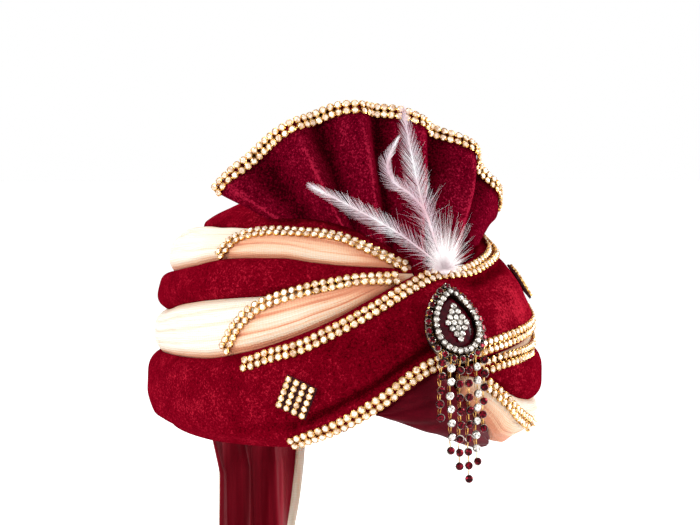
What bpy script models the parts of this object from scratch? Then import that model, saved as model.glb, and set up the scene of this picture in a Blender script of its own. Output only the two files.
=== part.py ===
"""A tied turban pagri as separate pieces, in metres, +Z up.

The wearer faces -Y and the wearer's right is -X. The origin is the centre of the head
opening, in the plane of the rim. A place on the pagri is a turn in degrees, from the
front to the wearer's right, a height as a share of BODY_HEIGHT, and a lift off the skin.
"""
import math
from collections import namedtuple

import bmesh
import bpy
from mathutils import Matrix, Vector

# Driving sizes of the wound body
BODY_HEIGHT = 0.135
HALF_FRONT = 0.117
HALF_BACK = 0.120
HALF_RIGHT = 0.101
HALF_LEFT = 0.099
FOLD_DEPTH = 0.0135
CAP_WALL = 0.0022
GAP = 0.0004
FOLD_GAP = 0.0008
TURN_STEP = 7.5

# Padding of the folds, as lifts of their crests and edges off the skin
BAND_CREST = 0.0024
BAND_EDGE = -0.0035
FOLD_CREST = 0.0005
FOLD_EDGE = -0.0055
SATIN_CREST = -0.0055
SATIN_EDGE = -0.0075
CROWN_LIFT = -0.0030
CROWN_WALL = 0.0090
PLEAT_DEPTH = 0.0010
RIM_INSET = 0.0016

# Trims, fan and tail
TRIM_WIDTH = 0.0084
TRIM_THICKNESS = 0.0024
TRIM_LIFT = 0.0005
CREST_HALF_WIDTH = 0.082
CREST_SWEEP = 0.062
CREST_TOP = 0.176
CREST_CLOTH = 0.0020
CREST_PLEATS = 7
CREST_PLEAT_DEPTH = 0.0055
CREST_SEAT = 0.0030
TAIL_LENGTH = 0.100
TAIL_CLOTH = 0.0016
TAIL_TUCK = 0.018
TAIL_RIPPLE = 0.0045
TAIL_WAVES = 19.0
TAIL_START = 153.0
TAIL_END = 206.0

# Brooch, patches, fringe and feathers
BROOCH_WIDTH = 0.0360
BROOCH_HEIGHT = 0.0412
BROOCH_PLATE = 0.0016
BROOCH_SEAT = 0.0024
BROOCH_TURN = 11.5
BROOCH_PLACE = 0.470
RUBY_STONE = 0.0026
RUBY_RING_WIDTH = 0.0325
RUBY_RING_HEIGHT = 0.0370
RUBY_RING_STONES = 24
CLEAR_STONE = 0.0029
CLEAR_RING_WIDTH = 0.0256
CLEAR_RING_HEIGHT = 0.0303
CLEAR_RING_STONES = 22
HEART_WIDTH = 0.0218
HEART_HEIGHT = 0.0262
HEART_DEPTH = 0.0024
CENTRE_STEP_X = 0.0019
CENTRE_STEP_Y = 0.0027
CENTRE_ROWS = (1, 2, 3, 2, 3, 2, 1)
CENTRE_STONE = 0.0030
RUBY_SETTING = 0.0008
CLEAR_SETTING = 0.0028
STONE_RISE = 0.0018
STONE_SINK = 0.0002
PATCH_COLUMN_STEP = 0.0043
PATCH_ROW_STEP = 0.0034
PATCH_PLATE = 0.0012
PATCH_STONE = 0.0031
STRAND_PITCH = 0.0067
STRAND_WIRE = 0.0005
STRAND_STONE = 0.0034
STRAND_LAP = 0.0004
FEATHER_WIDTH = 0.013
FEATHER_THICKNESS = 0.0016
FLUFF_RADIUS = 0.0075

# Sections of the body, as shares of the half sizes above
Section = namedtuple("Section", "height front back right left")
SECTIONS = (
    Section(0.00, 0.957, 0.958, 0.940, 0.949),
    Section(0.07, 0.983, 0.983, 0.980, 0.980),
    Section(0.15, 1.000, 1.000, 1.000, 1.000),
    Section(0.24, 1.000, 1.000, 1.000, 1.000),
    Section(0.34, 0.991, 0.992, 0.980, 0.990),
    Section(0.44, 0.957, 0.983, 0.960, 0.960),
    Section(0.55, 0.889, 0.975, 0.940, 0.900),
    Section(0.63, 0.821, 0.958, 0.911, 0.838),
    Section(0.72, 0.744, 0.933, 0.861, 0.768),
    Section(0.79, 0.675, 0.867, 0.792, 0.687),
    Section(0.87, 0.581, 0.750, 0.673, 0.586),
    Section(0.94, 0.427, 0.567, 0.495, 0.444),
    Section(0.985, 0.240, 0.317, 0.277, 0.263),
    Section(1.00, 0.000, 0.000, 0.000, 0.000),
)

# Edges of the folds: turn in degrees and height as a share of BODY_HEIGHT
Edge = namedtuple("Edge", "turn height")
BAND_FOOT = (
    Edge(-165, 0.75), Edge(-140, 0.68), Edge(-115, 0.61), Edge(-90, 0.55), Edge(-60, 0.465),
    Edge(-45, 0.425), Edge(-31, 0.40), Edge(-19, 0.385), Edge(-9, 0.37), Edge(3, 0.35),
    Edge(10, 0.335), Edge(17, 0.312), Edge(23, 0.275), Edge(27, 0.24), Edge(31, 0.195),
    Edge(35, 0.155), Edge(41, 0.105), Edge(46, 0.07), Edge(51, 0.044), Edge(58, 0.014),
    Edge(67, 0.008), Edge(77, 0.004), Edge(90, 0.0), Edge(295, 0.0),
)
BAND_HEAD = (
    Edge(-165, 0.79), Edge(-140, 0.87), Edge(-115, 0.90), Edge(-90, 0.89), Edge(-65, 0.845),
    Edge(-50, 0.80), Edge(-35, 0.755), Edge(-22, 0.73), Edge(-12, 0.708), Edge(-4, 0.693),
    Edge(5, 0.689), Edge(13, 0.674), Edge(22, 0.637), Edge(32, 0.585), Edge(45, 0.504),
    Edge(57, 0.437), Edge(72, 0.37), Edge(87, 0.33), Edge(117, 0.31), Edge(150, 0.28),
    Edge(180, 0.24), Edge(210, 0.185), Edge(240, 0.125), Edge(270, 0.07), Edge(295, 0.03),
)
LOWER_HEAD = (
    Edge(15, 0.680), Edge(22, 0.682), Edge(40, 0.645), Edge(56, 0.607), Edge(66, 0.585),
    Edge(77, 0.57), Edge(90, 0.548), Edge(103, 0.52), Edge(119, 0.48), Edge(150, 0.455),
    Edge(180, 0.43), Edge(210, 0.36), Edge(240, 0.28), Edge(270, 0.20), Edge(300, 0.155),
    Edge(320, 0.14), Edge(339, 0.17), Edge(348, 0.207), Edge(355, 0.25), Edge(365, 0.289),
    Edge(372, 0.30),
)
MIDDLE_HEAD = (
    Edge(15, 0.694), Edge(23, 0.702), Edge(30, 0.705), Edge(39, 0.71), Edge(49, 0.72),
    Edge(60, 0.733), Edge(72, 0.73), Edge(85, 0.72), Edge(101, 0.68), Edge(116, 0.65),
    Edge(150, 0.61), Edge(180, 0.57), Edge(210, 0.51), Edge(240, 0.44), Edge(270, 0.39),
    Edge(300, 0.36), Edge(331, 0.345), Edge(345, 0.345), Edge(355, 0.342), Edge(360, 0.338),
    Edge(368, 0.325),
)
UPPER_HEAD = (
    Edge(15, 0.712), Edge(22, 0.745), Edge(30, 0.785), Edge(39, 0.82), Edge(51, 0.84),
    Edge(72, 0.845), Edge(90, 0.845), Edge(120, 0.84), Edge(150, 0.815), Edge(180, 0.77),
    Edge(195, 0.75),
)
LOWER_FOOT = (
    Edge(295, 0.0), Edge(300, 0.0), Edge(333, 0.012), Edge(342, 0.0), Edge(352, 0.03),
    Edge(356, 0.075), Edge(364, 0.18), Edge(368, 0.225),
)
SATIN_FOOT = (
    Edge(-9, 0.0), Edge(-4, 0.0), Edge(5, 0.015), Edge(19, 0.075), Edge(29, 0.125),
    Edge(34, 0.152),
)
RIM = (
    Edge(-180, 0.0), Edge(-27, 0.012), Edge(-18, 0.0), Edge(-4, 0.0), Edge(5, 0.015),
    Edge(19, 0.075), Edge(29, 0.125), Edge(34, 0.152), Edge(38, 0.13), Edge(46, 0.07),
    Edge(51, 0.044), Edge(58, 0.014), Edge(77, 0.004), Edge(90, 0.0), Edge(180, 0.0),
)

# Middle lines of the trims, each in the same turns and heights
TRIM_PATHS = {
    "trim_band_upper": (
        Edge(-72, 0.812), Edge(-50, 0.755), Edge(-35, 0.718), Edge(-22, 0.694), Edge(-12, 0.674),
        Edge(-4, 0.659), Edge(9, 0.652), Edge(20, 0.607), Edge(34, 0.526), Edge(46, 0.452),
        Edge(54, 0.40), Edge(63, 0.363), Edge(71, 0.325),
    ),
    "trim_band_lower": (
        Edge(-60, 0.50), Edge(-45, 0.46), Edge(-31, 0.437), Edge(-19, 0.422), Edge(-9, 0.407),
        Edge(3, 0.386), Edge(10, 0.371), Edge(17, 0.348), Edge(23, 0.311), Edge(31, 0.23),
        Edge(41, 0.141), Edge(51, 0.08), Edge(58, 0.05),
    ),
    "trim_fold_lower": (
        Edge(23, 0.652), Edge(27, 0.653), Edge(34, 0.648), Edge(43, 0.63), Edge(53, 0.60),
        Edge(59, 0.578), Edge(65, 0.548), Edge(70, 0.504), Edge(74, 0.452), Edge(79, 0.368),
    ),
    "trim_fold_upper": (
        Edge(17.5, 0.705), Edge(22, 0.728), Edge(30, 0.763), Edge(39, 0.798), Edge(51, 0.815),
        Edge(62, 0.82), Edge(72, 0.812), Edge(79, 0.796), Edge(83, 0.77), Edge(86, 0.745),
    ),
    "trim_left_mid": (
        Edge(-58, 0.40), Edge(-40, 0.37), Edge(-29, 0.35), Edge(-19, 0.345), Edge(-8, 0.336),
        Edge(2, 0.318),
    ),
    "trim_left_low": (
        Edge(-30, 0.05), Edge(-21, 0.085), Edge(-12, 0.135), Edge(-7, 0.185), Edge(-3, 0.225),
        Edge(1, 0.255),
    ),
}

# Rows of the fan: the place along its base on the crown, and its outer edge in shares
FanRow = namedtuple("FanRow", "share base_turn across ahead height")
FAN_ROWS = (
    FanRow(0.00, 72, -1.00, -0.05, 0.739),
    FanRow(0.12, 52, -0.87, 0.29, 0.867),
    FanRow(0.25, 36, -0.67, 0.55, 0.950),
    FanRow(0.38, 26, -0.42, 0.74, 0.994),
    FanRow(0.50, 19, -0.17, 0.86, 0.989),
    FanRow(0.62, 11, 0.10, 0.95, 0.944),
    FanRow(0.75, 1, 0.39, 1.00, 0.889),
    FanRow(0.88, -18, 0.69, 0.95, 0.772),
    FanRow(1.00, -46, 0.95, 0.48, 0.672),
)

# Stones on each strand of the fringe, and where the strand hangs across the brooch
Strand = namedtuple("Strand", "across stones")
STRANDS = (
    Strand(-0.33, 5), Strand(-0.20, 7), Strand(-0.065, 8),
    Strand(0.07, 9), Strand(0.20, 8), Strand(0.33, 6),
)

# Shafts of the feathers, in shares of FEATHER_REACH across, ahead and up from their base
Shaft = namedtuple("Shaft", "across ahead up")
FEATHER_REACH = 0.080
FEATHERS = (
    (Shaft(0.0, 0.0, 0.0), Shaft(-0.22, -0.18, 0.16), Shaft(-0.44, -0.38, 0.29), Shaft(-0.66, -0.54, 0.42)),
    (Shaft(0.0, 0.0, 0.0), Shaft(-0.04, -0.16, 0.32), Shaft(-0.02, -0.32, 0.60), Shaft(0.02, -0.44, 0.88)),
    (Shaft(0.0, 0.0, 0.0), Shaft(-0.13, -0.12, 0.32), Shaft(-0.20, -0.22, 0.50), Shaft(-0.07, -0.36, 0.70)),
)


def paint(colour, roughness=0.8, metallic=0.0):
    """A plain Principled material of one colour."""
    material = bpy.data.materials.new("finish")
    material.use_nodes = True
    shader = material.node_tree.nodes["Principled BSDF"]
    shader.inputs["Base Color"].default_value = (*colour, 1.0)
    shader.inputs["Roughness"].default_value = roughness
    shader.inputs["Metallic"].default_value = metallic
    return material


def add(name, form, material):
    """The bmesh as an object of its own."""
    mesh = bpy.data.meshes.new(name)
    form.to_mesh(mesh)
    form.free()
    mesh.materials.append(material)
    made = bpy.data.objects.new(name, mesh)
    bpy.context.scene.collection.objects.link(made)
    return made


def steepness(rows, index, column):
    """The slope at a row that keeps the curve between its neighbours' values."""
    if index in (0, len(rows) - 1):
        return 0.0
    below, here, above = rows[index - 1:index + 2]
    before = (here[column] - below[column]) / (here[0] - below[0])
    after = (above[column] - here[column]) / (above[0] - here[0])
    return 0.0 if before * after <= 0 else 2 * before * after / (before + after)


def smooth(rows, at, column=1):
    """A column of a table at any place, on a curve that never overshoots its rows."""
    index = min(max(sum(row[0] <= at for row in rows) - 1, 0), len(rows) - 2)
    low, high = rows[index], rows[index + 1]
    run = high[0] - low[0]
    share = min(max((at - low[0]) / run, 0.0), 1.0)
    rise = high[column] - low[column]
    first = steepness(rows, index, column) * run
    last = steepness(rows, index + 1, column) * run
    bend = 3 * rise - 2 * first - last
    return low[column] + share * (first + share * (bend + share * (first + last - 2 * rise)))


def edge(rows, turn):
    """An edge's height, straight between the steps that all folds share, so that they fit."""
    low = math.floor(turn / TURN_STEP) * TURN_STEP
    share = (turn - low) / TURN_STEP
    return (1 - share) * smooth(rows, low) + share * smooth(rows, low + TURN_STEP)


def skin(turn, height):
    """The point of the body's skin at a turn and a height."""
    front, back, right, left = (smooth(SECTIONS, height, column) for column in range(1, 5))
    across = -math.sin(math.radians(turn))
    along = -math.cos(math.radians(turn))
    half_x = HALF_RIGHT * right if across < 0 else HALF_LEFT * left
    half_y = HALF_FRONT * front if along < 0 else HALF_BACK * back
    return Vector((half_x * across, half_y * along, height * BODY_HEIGHT))


def outward(turn, height):
    """The direction straight off the skin."""
    height = min(height, 0.985)
    round_it = skin(turn - 1, height) - skin(turn + 1, height)
    up_it = skin(turn, height + 0.01) - skin(turn, height - 0.01)
    return round_it.cross(up_it).normalized()


def place(turn, height, lift=0.0):
    """A point lifted off the skin."""
    return skin(turn, height) + lift * outward(turn, height)


def band_foot(turn):
    return edge(BAND_FOOT, turn)


def band_head(turn):
    return edge(BAND_HEAD, turn)


def lower_foot(turn):
    return edge(BAND_HEAD, turn) if turn < 295 else edge(LOWER_FOOT, turn)


def lower_head(turn):
    return edge(LOWER_HEAD, turn)


def middle_head(turn):
    return edge(MIDDLE_HEAD, turn)


def upper_head(turn):
    return edge(UPPER_HEAD, turn) if turn < 195 else edge(BAND_FOOT, turn - 360) - 0.003


def satin_head(turn):
    """The satin's top, under the band, and under the lower fold where that crosses it."""
    if turn > 14:
        return band_foot(turn)
    share = min(max((turn - 7.5) / 7.5, 0.0), 1.0)
    return (1 - share) * edge(LOWER_FOOT, min(turn, 7.5) + 360) + share * band_foot(15)


def crown_foot(turn):
    """The line that the top of the crown starts from, over the uppermost fold there."""
    turn = (turn + 165) % 360 - 165
    heads = [band_head(turn)] if turn < 15 else [upper_head(turn)]
    if abs(turn + 165) < 1 or abs(turn - 195) < 1:
        heads.append(band_head(-165))
    if abs(turn - 15) < 1:
        heads.append(band_head(15))
    return max(heads)


Fold = namedtuple("Fold", "name start end rows foot head crest edge pleats colour")
MAROON = (0.25, 0.004, 0.018)
CREAM = (0.86, 0.74, 0.58)
FOLDS = (
    Fold("front_band", -165, 292.5, 4, band_foot, band_head, BAND_CREST, BAND_EDGE, 0, MAROON),
    Fold("cream_fold_lower", 15, 367.5, 5, lower_foot, lower_head, FOLD_CREST, FOLD_EDGE, 3, CREAM),
    Fold("maroon_fold", 15, 367.5, 3, lower_head, middle_head, FOLD_CREST, FOLD_EDGE, 0, MAROON),
    Fold("cream_fold_upper", 15, 352.5, 4, middle_head, upper_head, FOLD_CREST, FOLD_EDGE, 2, CREAM),
)


def cover(fold, turn, height):
    """How far the outside of a fold stands off the skin, rounded down to its edges and ends."""
    foot, head = fold.foot(turn), fold.head(turn)
    share = min(max((height - foot) / max(head - foot, 1e-6), 0.0), 1.0)
    round_off = abs(2 * share - 1) ** (4 if fold.pleats == 0 else 3)
    full = min((head - foot) * BODY_HEIGHT / 0.020, 1.0)
    crest = fold.edge + (fold.crest - fold.edge) * full
    ripple = PLEAT_DEPTH * full * math.sin(math.pi * (2 * fold.pleats + 1) * share)
    lift = crest - (crest - fold.edge) * round_off + (ripple if fold.pleats else 0.0)
    at_rim = max(0.0, 1 - height / 0.06) if share < 0.5 and height < 0.06 else 0.0
    return lift - RIM_INSET * at_rim


def top_of(turn, height):
    """The outermost cloth at a place, over every fold that passes it."""
    lifts = [SATIN_CREST]
    for fold in FOLDS:
        for lap in (0, 360):
            at = turn + lap
            if fold.start <= at <= fold.end and fold.foot(at) <= height <= fold.head(at):
                lifts.append(cover(fold, at, height))
    if height > crown_foot(turn):
        lifts.append(CROWN_LIFT)
    return max(lifts)


def slab(name, columns, rows, spot, material):
    """A closed sheet whose spots are given by shares along, across and through it."""
    form = bmesh.new()
    bmesh.ops.create_grid(form, x_segments=columns, y_segments=rows, size=0.5)
    bmesh.ops.solidify(form, geom=form.faces[:], thickness=1.0)
    lowest = min(vertex.co.z for vertex in form.verts)
    for vertex in form.verts:
        vertex.co = spot(vertex.co.x + 0.5, vertex.co.y + 0.5, round(vertex.co.z - lowest))
    bmesh.ops.recalc_face_normals(form, faces=form.faces[:])
    if form.calc_volume(signed=True) < 0:
        bmesh.ops.reverse_faces(form, faces=form.faces[:])
    return add(name, form, material)


def dome(name, columns, rows, spot, wall, material):
    """A shell over the head: an open skin whose spots go all the way round, made solid inward."""
    form = bmesh.new()
    bmesh.ops.create_grid(form, x_segments=columns, y_segments=rows, size=0.5)
    for vertex in form.verts:
        vertex.co = spot(vertex.co.x + 0.5, vertex.co.y + 0.5)
    bmesh.ops.remove_doubles(form, verts=form.verts[:], dist=0.00005)
    bmesh.ops.recalc_face_normals(form, faces=form.faces[:])
    made = add(name, form, material)
    thicken = made.modifiers.new("wall", "SOLIDIFY")
    thicken.thickness = wall
    thicken.offset = -1.0
    return made


def make_cap():
    """The stiff cap: open below, its rim a little inside the folds' lower edges."""
    def spot(share, rise):
        turn = -180 + 360 * share
        foot = edge(RIM, turn) + 0.02
        height = foot + (1 - foot) * math.sin(rise * math.pi / 2)
        return place(turn, height, -FOLD_DEPTH)

    return dome("crown_cap", 48, 5, spot, CAP_WALL, paint((0.12, 0.01, 0.015)))


def make_crown_top():
    """The padded velvet over the crown, from the uppermost fold to the middle."""
    def spot(share, rise):
        turn = -180 + 360 * share
        foot = crown_foot(turn) + FOLD_GAP / BODY_HEIGHT
        height = foot + (1 - foot) * math.sin(rise * math.pi / 2)
        return place(turn, height, CROWN_LIFT)

    return dome("crown_top", 48, 4, spot, CROWN_WALL, paint(MAROON))


def make_fold(fold):
    """One wound fold, padded out from the cap between its two edges."""
    gap = 0.5 * FOLD_GAP / BODY_HEIGHT

    def spot(along, across, through):
        turn = fold.start + (fold.end - fold.start) * along
        foot = fold.foot(turn) + gap
        head = fold.head(turn) - gap
        height = foot + (head - foot) * (0.5 - 0.5 * math.cos(math.pi * across))
        lift = cover(fold, turn, height) if through else GAP - FOLD_DEPTH
        return place(turn, height, lift)

    columns = round((fold.end - fold.start) / TURN_STEP)
    return slab(fold.name, columns, fold.rows, spot, paint(fold.colour))


def make_satin():
    """The satin at the forehead, lower than the folds that cross it."""
    start, end = -7.5, 33.75
    gap = FOLD_GAP / BODY_HEIGHT

    def spot(along, across, through):
        turn = start + (end - start) * along
        foot = edge(SATIN_FOOT, turn)
        head = max(satin_head(turn) - gap, foot + gap)
        height = foot + (head - foot) * across
        round_off = abs(2 * across - 1) ** 3
        lift = SATIN_CREST - (SATIN_CREST - SATIN_EDGE) * round_off if through else GAP - FOLD_DEPTH
        return place(turn, height, lift)

    return slab("forehead_satin", 11, 3, spot, paint((0.09, 0.002, 0.006), 0.4))


def make_trim(name, path):
    """A flat two-row trim laid on whatever cloth its middle line crosses."""
    start, end = path[0].turn, path[-1].turn
    columns = max(6, round((end - start) / 5.0))
    half = 0.5 * TRIM_WIDTH

    def middle(along):
        turn = start + (end - start) * along
        return turn, smooth(path, turn)

    def spot(along, across, through):
        turn, height = middle(along)
        before = skin(*middle(max(along - 0.01, 0.0)))
        after = skin(*middle(min(along + 0.01, 1.0)))
        off = outward(turn, height)
        side = off.cross(after - before).normalized()
        reach = half / BODY_HEIGHT
        lifts = []
        for near in (-0.03, 0, 0.03):
            beside, level = middle(along + near)
            lifts += [top_of(beside, level + reach * step) for step in (-1, -0.5, 0, 0.5, 1)]
        lift = max(lifts) + TRIM_LIFT + through * TRIM_THICKNESS
        return skin(turn, height) + off * lift + side * half * (2 * across - 1)

    return slab(name, columns, 1, spot, paint((0.80, 0.60, 0.28), 0.3, 1.0))


def fan_spot(share, rise, lift):
    """A point of the fan: share along it, rise from its base to its edge, lift to its front."""
    def plain(share, rise):
        turn = smooth(FAN_ROWS, share, 1)
        foot = crown_foot(turn) + CREST_SEAT / BODY_HEIGHT
        base = place(turn, foot, CROWN_LIFT + CREST_CLOTH)
        outer = Vector((
            CREST_HALF_WIDTH * smooth(FAN_ROWS, share, 2),
            -CREST_SWEEP * smooth(FAN_ROWS, share, 3),
            CREST_TOP * smooth(FAN_ROWS, share, 4),
        ))
        return base.lerp(outer, rise)

    share = min(max(share, 0.0), 1.0)
    along = plain(min(share + 0.01, 1.0), rise) - plain(max(share - 0.01, 0.0), rise)
    up = plain(share, min(rise + 0.02, 1.0)) - plain(share, max(rise - 0.02, 0.0))
    front = along.cross(up).normalized()
    wave = math.sin(2 * math.pi * CREST_PLEATS * share - 0.9) * min(1.0, 0.08 + 0.92 * rise)
    return plain(share, rise) + front * (CREST_PLEAT_DEPTH * wave + lift)


def make_fan():
    """The pleated fan, its gathered base standing on the front of the crown."""
    def spot(along, across, through):
        return fan_spot(along, across, CREST_CLOTH * (through - 0.5))

    return slab("crest_fan", 42, 4, spot, paint(MAROON))


def make_crest_trim():
    """The trim along the front of the fan's wavy edge."""
    share = TRIM_WIDTH / (0.55 * CREST_TOP)

    def spot(along, across, through):
        lift = 0.5 * CREST_CLOTH + 0.7 * FOLD_GAP + through * TRIM_THICKNESS
        return fan_spot(along, 1 - share * (1 - across), lift)

    return slab("trim_crest", 42, 1, spot, paint((0.80, 0.60, 0.28), 0.3, 1.0))


def make_tail(name, start, end, depth, colour):
    """A hanging layer of the tail, sewn inside the back of the cap at its top."""
    inside = -FOLD_DEPTH - CAP_WALL - GAP

    def spot(along, across, through):
        drop = across * (TAIL_TUCK + TAIL_LENGTH) - TAIL_TUCK
        below = max(0.0, (drop - 0.004) / TAIL_LENGTH)
        turn = start + (end - start - 9.0 * below ** 2) * along
        wave = 1 + math.sin(math.radians(TAIL_WAVES * (turn - TAIL_START)) + 0.6)
        lift = inside - depth - through * TAIL_CLOTH - TAIL_RIPPLE * min(1.0, 3 * below) * wave
        seat = place(turn, 0.02, lift)
        return Vector((seat.x, seat.y, -drop))

    return slab(name, 14, 5, spot, paint(colour, 0.35))


def frame_at(turn, height, lift, tilt=0.0):
    """A frame on the cloth: X across, Y up the skin and Z off it, turned by a tilt."""
    off = outward(turn, height)
    across = Vector((0, 0, 1)).cross(off).normalized()
    frame = Matrix((across, off.cross(across), off)).transposed().to_4x4()
    return Matrix.Translation(place(turn, height, lift)) @ frame @ Matrix.Rotation(tilt, 4, "Z")


def stones(name, spots, size, rise, material):
    """Cut stones as one mesh: each has eight facets and a table, and spots are their centres."""
    form = bmesh.new()
    for spot in spots:
        bmesh.ops.create_cone(
            form, cap_ends=True, segments=8, radius1=0.5 * size, radius2=0.3 * size,
            depth=rise, matrix=Matrix.Translation(spot) @ Matrix.Rotation(math.pi / 8, 4, "Z"),
        )
    return add(name, form, material)


def join(made, other):
    """Fuses another closed mesh into an object and hides what it came from."""
    fuse = made.modifiers.new("fused", "BOOLEAN")
    fuse.operation = "UNION"
    fuse.solver = "EXACT"
    fuse.object = other
    other.hide_render = True
    other.display_type = "WIRE"
    return made


def teardrop(width, height, count):
    """Points of a teardrop with its point up, evenly spread in angle."""
    points = []
    for step in range(count):
        angle = 2 * math.pi * step / count
        bulge = abs(math.sin(angle / 2)) ** 0.55
        points.append((0.525 * width * math.sin(angle) * bulge, 0.5 * height * math.cos(angle)))
    return points


def even_points(points, count):
    """Points at even steps along a closed outline."""
    loop = [Vector((*point, 0.0)) for point in points]
    lengths = [0.0]
    for here, after in zip(loop, loop[1:] + loop[:1]):
        lengths.append(lengths[-1] + (after - here).length)
    found = []
    for step in range(count):
        want = lengths[-1] * step / count
        index = max(i for i in range(len(loop)) if lengths[i] <= want)
        share = (want - lengths[index]) / (lengths[index + 1] - lengths[index])
        found.append(loop[index].lerp(loop[(index + 1) % len(loop)], share))
    return found


def plate(name, outlines, low, high, frame, material):
    """A flat plate from an outline, with any others cut out of it, between two heights."""
    curve = bpy.data.curves.new(name, "CURVE")
    curve.dimensions = "2D"
    curve.fill_mode = "BOTH"
    curve.extrude = 0.5 * (high - low)
    for outline in outlines:
        line = curve.splines.new("POLY")
        line.points.add(len(outline) - 1)
        for point, (x, y) in zip(line.points, outline):
            point.co = (x, y, 0.0, 1.0)
        line.use_cyclic_u = True
    curve.materials.append(material)
    made = bpy.data.objects.new(name, curve)
    bpy.context.scene.collection.objects.link(made)
    made.matrix_world = frame @ Matrix.Translation((0, 0, 0.5 * (low + high)))
    return made


def setting(name, outlines, spots, size, low, wall, frame, colour):
    """A flat plate with a cut stone at each spot, fused into one body."""
    material = paint(colour, 0.15, 0.3)
    flat = plate(name + "_outline", outlines, 0.0, wall, frame, material)
    form = bmesh.new()
    form.from_mesh(bpy.data.meshes.new_from_object(flat))
    bpy.data.objects.remove(flat, do_unlink=True)
    bmesh.ops.remove_doubles(form, verts=form.verts[:], dist=0.00001)
    made = add(name, form, material)
    made.matrix_world = frame @ Matrix.Translation((0, 0, low + 0.5 * wall))
    cut = stones(name + "_stones", spots, size, STONE_RISE, material)
    over = 0.5 * (wall + STONE_RISE) - STONE_SINK
    cut.matrix_world = made.matrix_world @ Matrix.Translation((0, 0, over))
    return join(made, cut)


def stone_ring(name, width, height, count, size, low, wall, frame, colour):
    """A teardrop ring of stones on a flat ring of their own width."""
    outlines = [teardrop(width + side * size, height + side * size, 24) for side in (1.0, -1.0)]
    spots = even_points(teardrop(width, height, 64), count)
    return setting(name, outlines, spots, size, low, wall, frame, colour)


def make_brooch():
    """The teardrop brooch: a plate, two rings of stones, a dark heart and a stone lozenge."""
    rest = top_of(BROOCH_TURN, BROOCH_PLACE) + BROOCH_SEAT
    frame = frame_at(BROOCH_TURN, BROOCH_PLACE, rest)
    plate(
        "brooch_plate", [teardrop(BROOCH_WIDTH, BROOCH_HEIGHT, 28)], 0.0, BROOCH_PLATE,
        frame, paint((0.10, 0.06, 0.05), 0.35, 1.0),
    )
    seat = BROOCH_PLATE + GAP
    stone_ring(
        "brooch_ruby_ring", RUBY_RING_WIDTH, RUBY_RING_HEIGHT, RUBY_RING_STONES, RUBY_STONE,
        seat, RUBY_SETTING, frame, (0.16, 0.0, 0.01),
    )
    stone_ring(
        "brooch_clear_ring", CLEAR_RING_WIDTH, CLEAR_RING_HEIGHT, CLEAR_RING_STONES, CLEAR_STONE,
        seat, CLEAR_SETTING, frame, (0.85, 0.85, 0.82),
    )
    heart = teardrop(HEART_WIDTH, HEART_HEIGHT, 20)
    plate("brooch_heart", [heart], seat, seat + HEART_DEPTH, frame, paint((0.12, 0.0, 0.01), 0.1))
    reach_x, reach_y = 3 * CENTRE_STEP_X, 3.7 * CENTRE_STEP_Y
    outline = [
        (0, reach_y), (-reach_x, 0.36 * reach_y), (-reach_x, -0.36 * reach_y),
        (0, -reach_y), (reach_x, -0.36 * reach_y), (reach_x, 0.36 * reach_y),
    ]
    spots = []
    for row, count in enumerate(CENTRE_ROWS):
        for step in range(count):
            spots.append(Vector((CENTRE_STEP_X * (2 * step + 1 - count), CENTRE_STEP_Y * (3 - row), 0)))
    setting(
        "brooch_centre", [outline], spots, CENTRE_STONE, seat + HEART_DEPTH + GAP, RUBY_SETTING,
        frame @ Matrix.Translation((0, -0.001, 0)), (0.85, 0.85, 0.82),
    )
    return frame


def make_patch(name, turn, height, tilt):
    """A field of four by five stones on a backing sewn to the band."""
    frame = frame_at(turn, height, top_of(turn, height) + GAP, tilt)
    half_x = 2.0 * PATCH_COLUMN_STEP
    half_y = 2.5 * PATCH_ROW_STEP
    outline = [(-half_x, -half_y), (half_x, -half_y), (half_x, half_y), (-half_x, half_y)]
    spots = []
    for column in range(4):
        for row in range(5):
            spots.append(Vector((PATCH_COLUMN_STEP * (column - 1.5), PATCH_ROW_STEP * (row - 2), 0)))
    setting(name, [outline], spots, PATCH_STONE, 0.0, PATCH_PLATE, frame, (0.80, 0.66, 0.36))


def make_strand(number, strand, brooch):
    """One strand of the fringe: square-set stones fused to the wire behind them that links them."""
    across = strand.across * BROOCH_WIDTH
    fall = 0.5 * BROOCH_HEIGHT * math.sqrt(1 - (across / (0.525 * BROOCH_WIDTH)) ** 2)
    hook = brooch @ Vector((across, STRAND_LAP - fall, BROOCH_PLATE + 0.5 * GAP + STRAND_WIRE))
    length = STRAND_PITCH * (strand.stones - 0.2)
    material = paint((0.20, 0.0, 0.01), 0.15, 0.2)
    form = bmesh.new()
    bmesh.ops.create_cone(
        form, cap_ends=True, segments=6, radius1=STRAND_WIRE, radius2=STRAND_WIRE,
        depth=length, matrix=Matrix.Translation((0, 0, -0.5 * length)),
    )
    wire = add(f"strand_{number}", form, material)
    wire.location = hook
    facing = Matrix.Rotation(math.pi / 2, 4, "X")
    spots = [Vector((0, -STRAND_PITCH * (0.6 + step), 0)) for step in range(strand.stones)]
    cups = stones(f"strand_{number}_stones", spots, STRAND_STONE, STONE_RISE, material)
    ahead = STRAND_WIRE + 0.5 * STONE_RISE - STONE_SINK
    cups.matrix_world = Matrix.Translation(hook + Vector((0, -ahead, 0))) @ facing
    join(wire, cups)


def curve_through(points, share):
    """A point on a smooth curve through a shaft's evenly spaced points."""
    rows = [(index, *point) for index, point in enumerate(points)]
    at = share * (len(points) - 1)
    return Vector([smooth(rows, at, column) for column in (1, 2, 3)])


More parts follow.
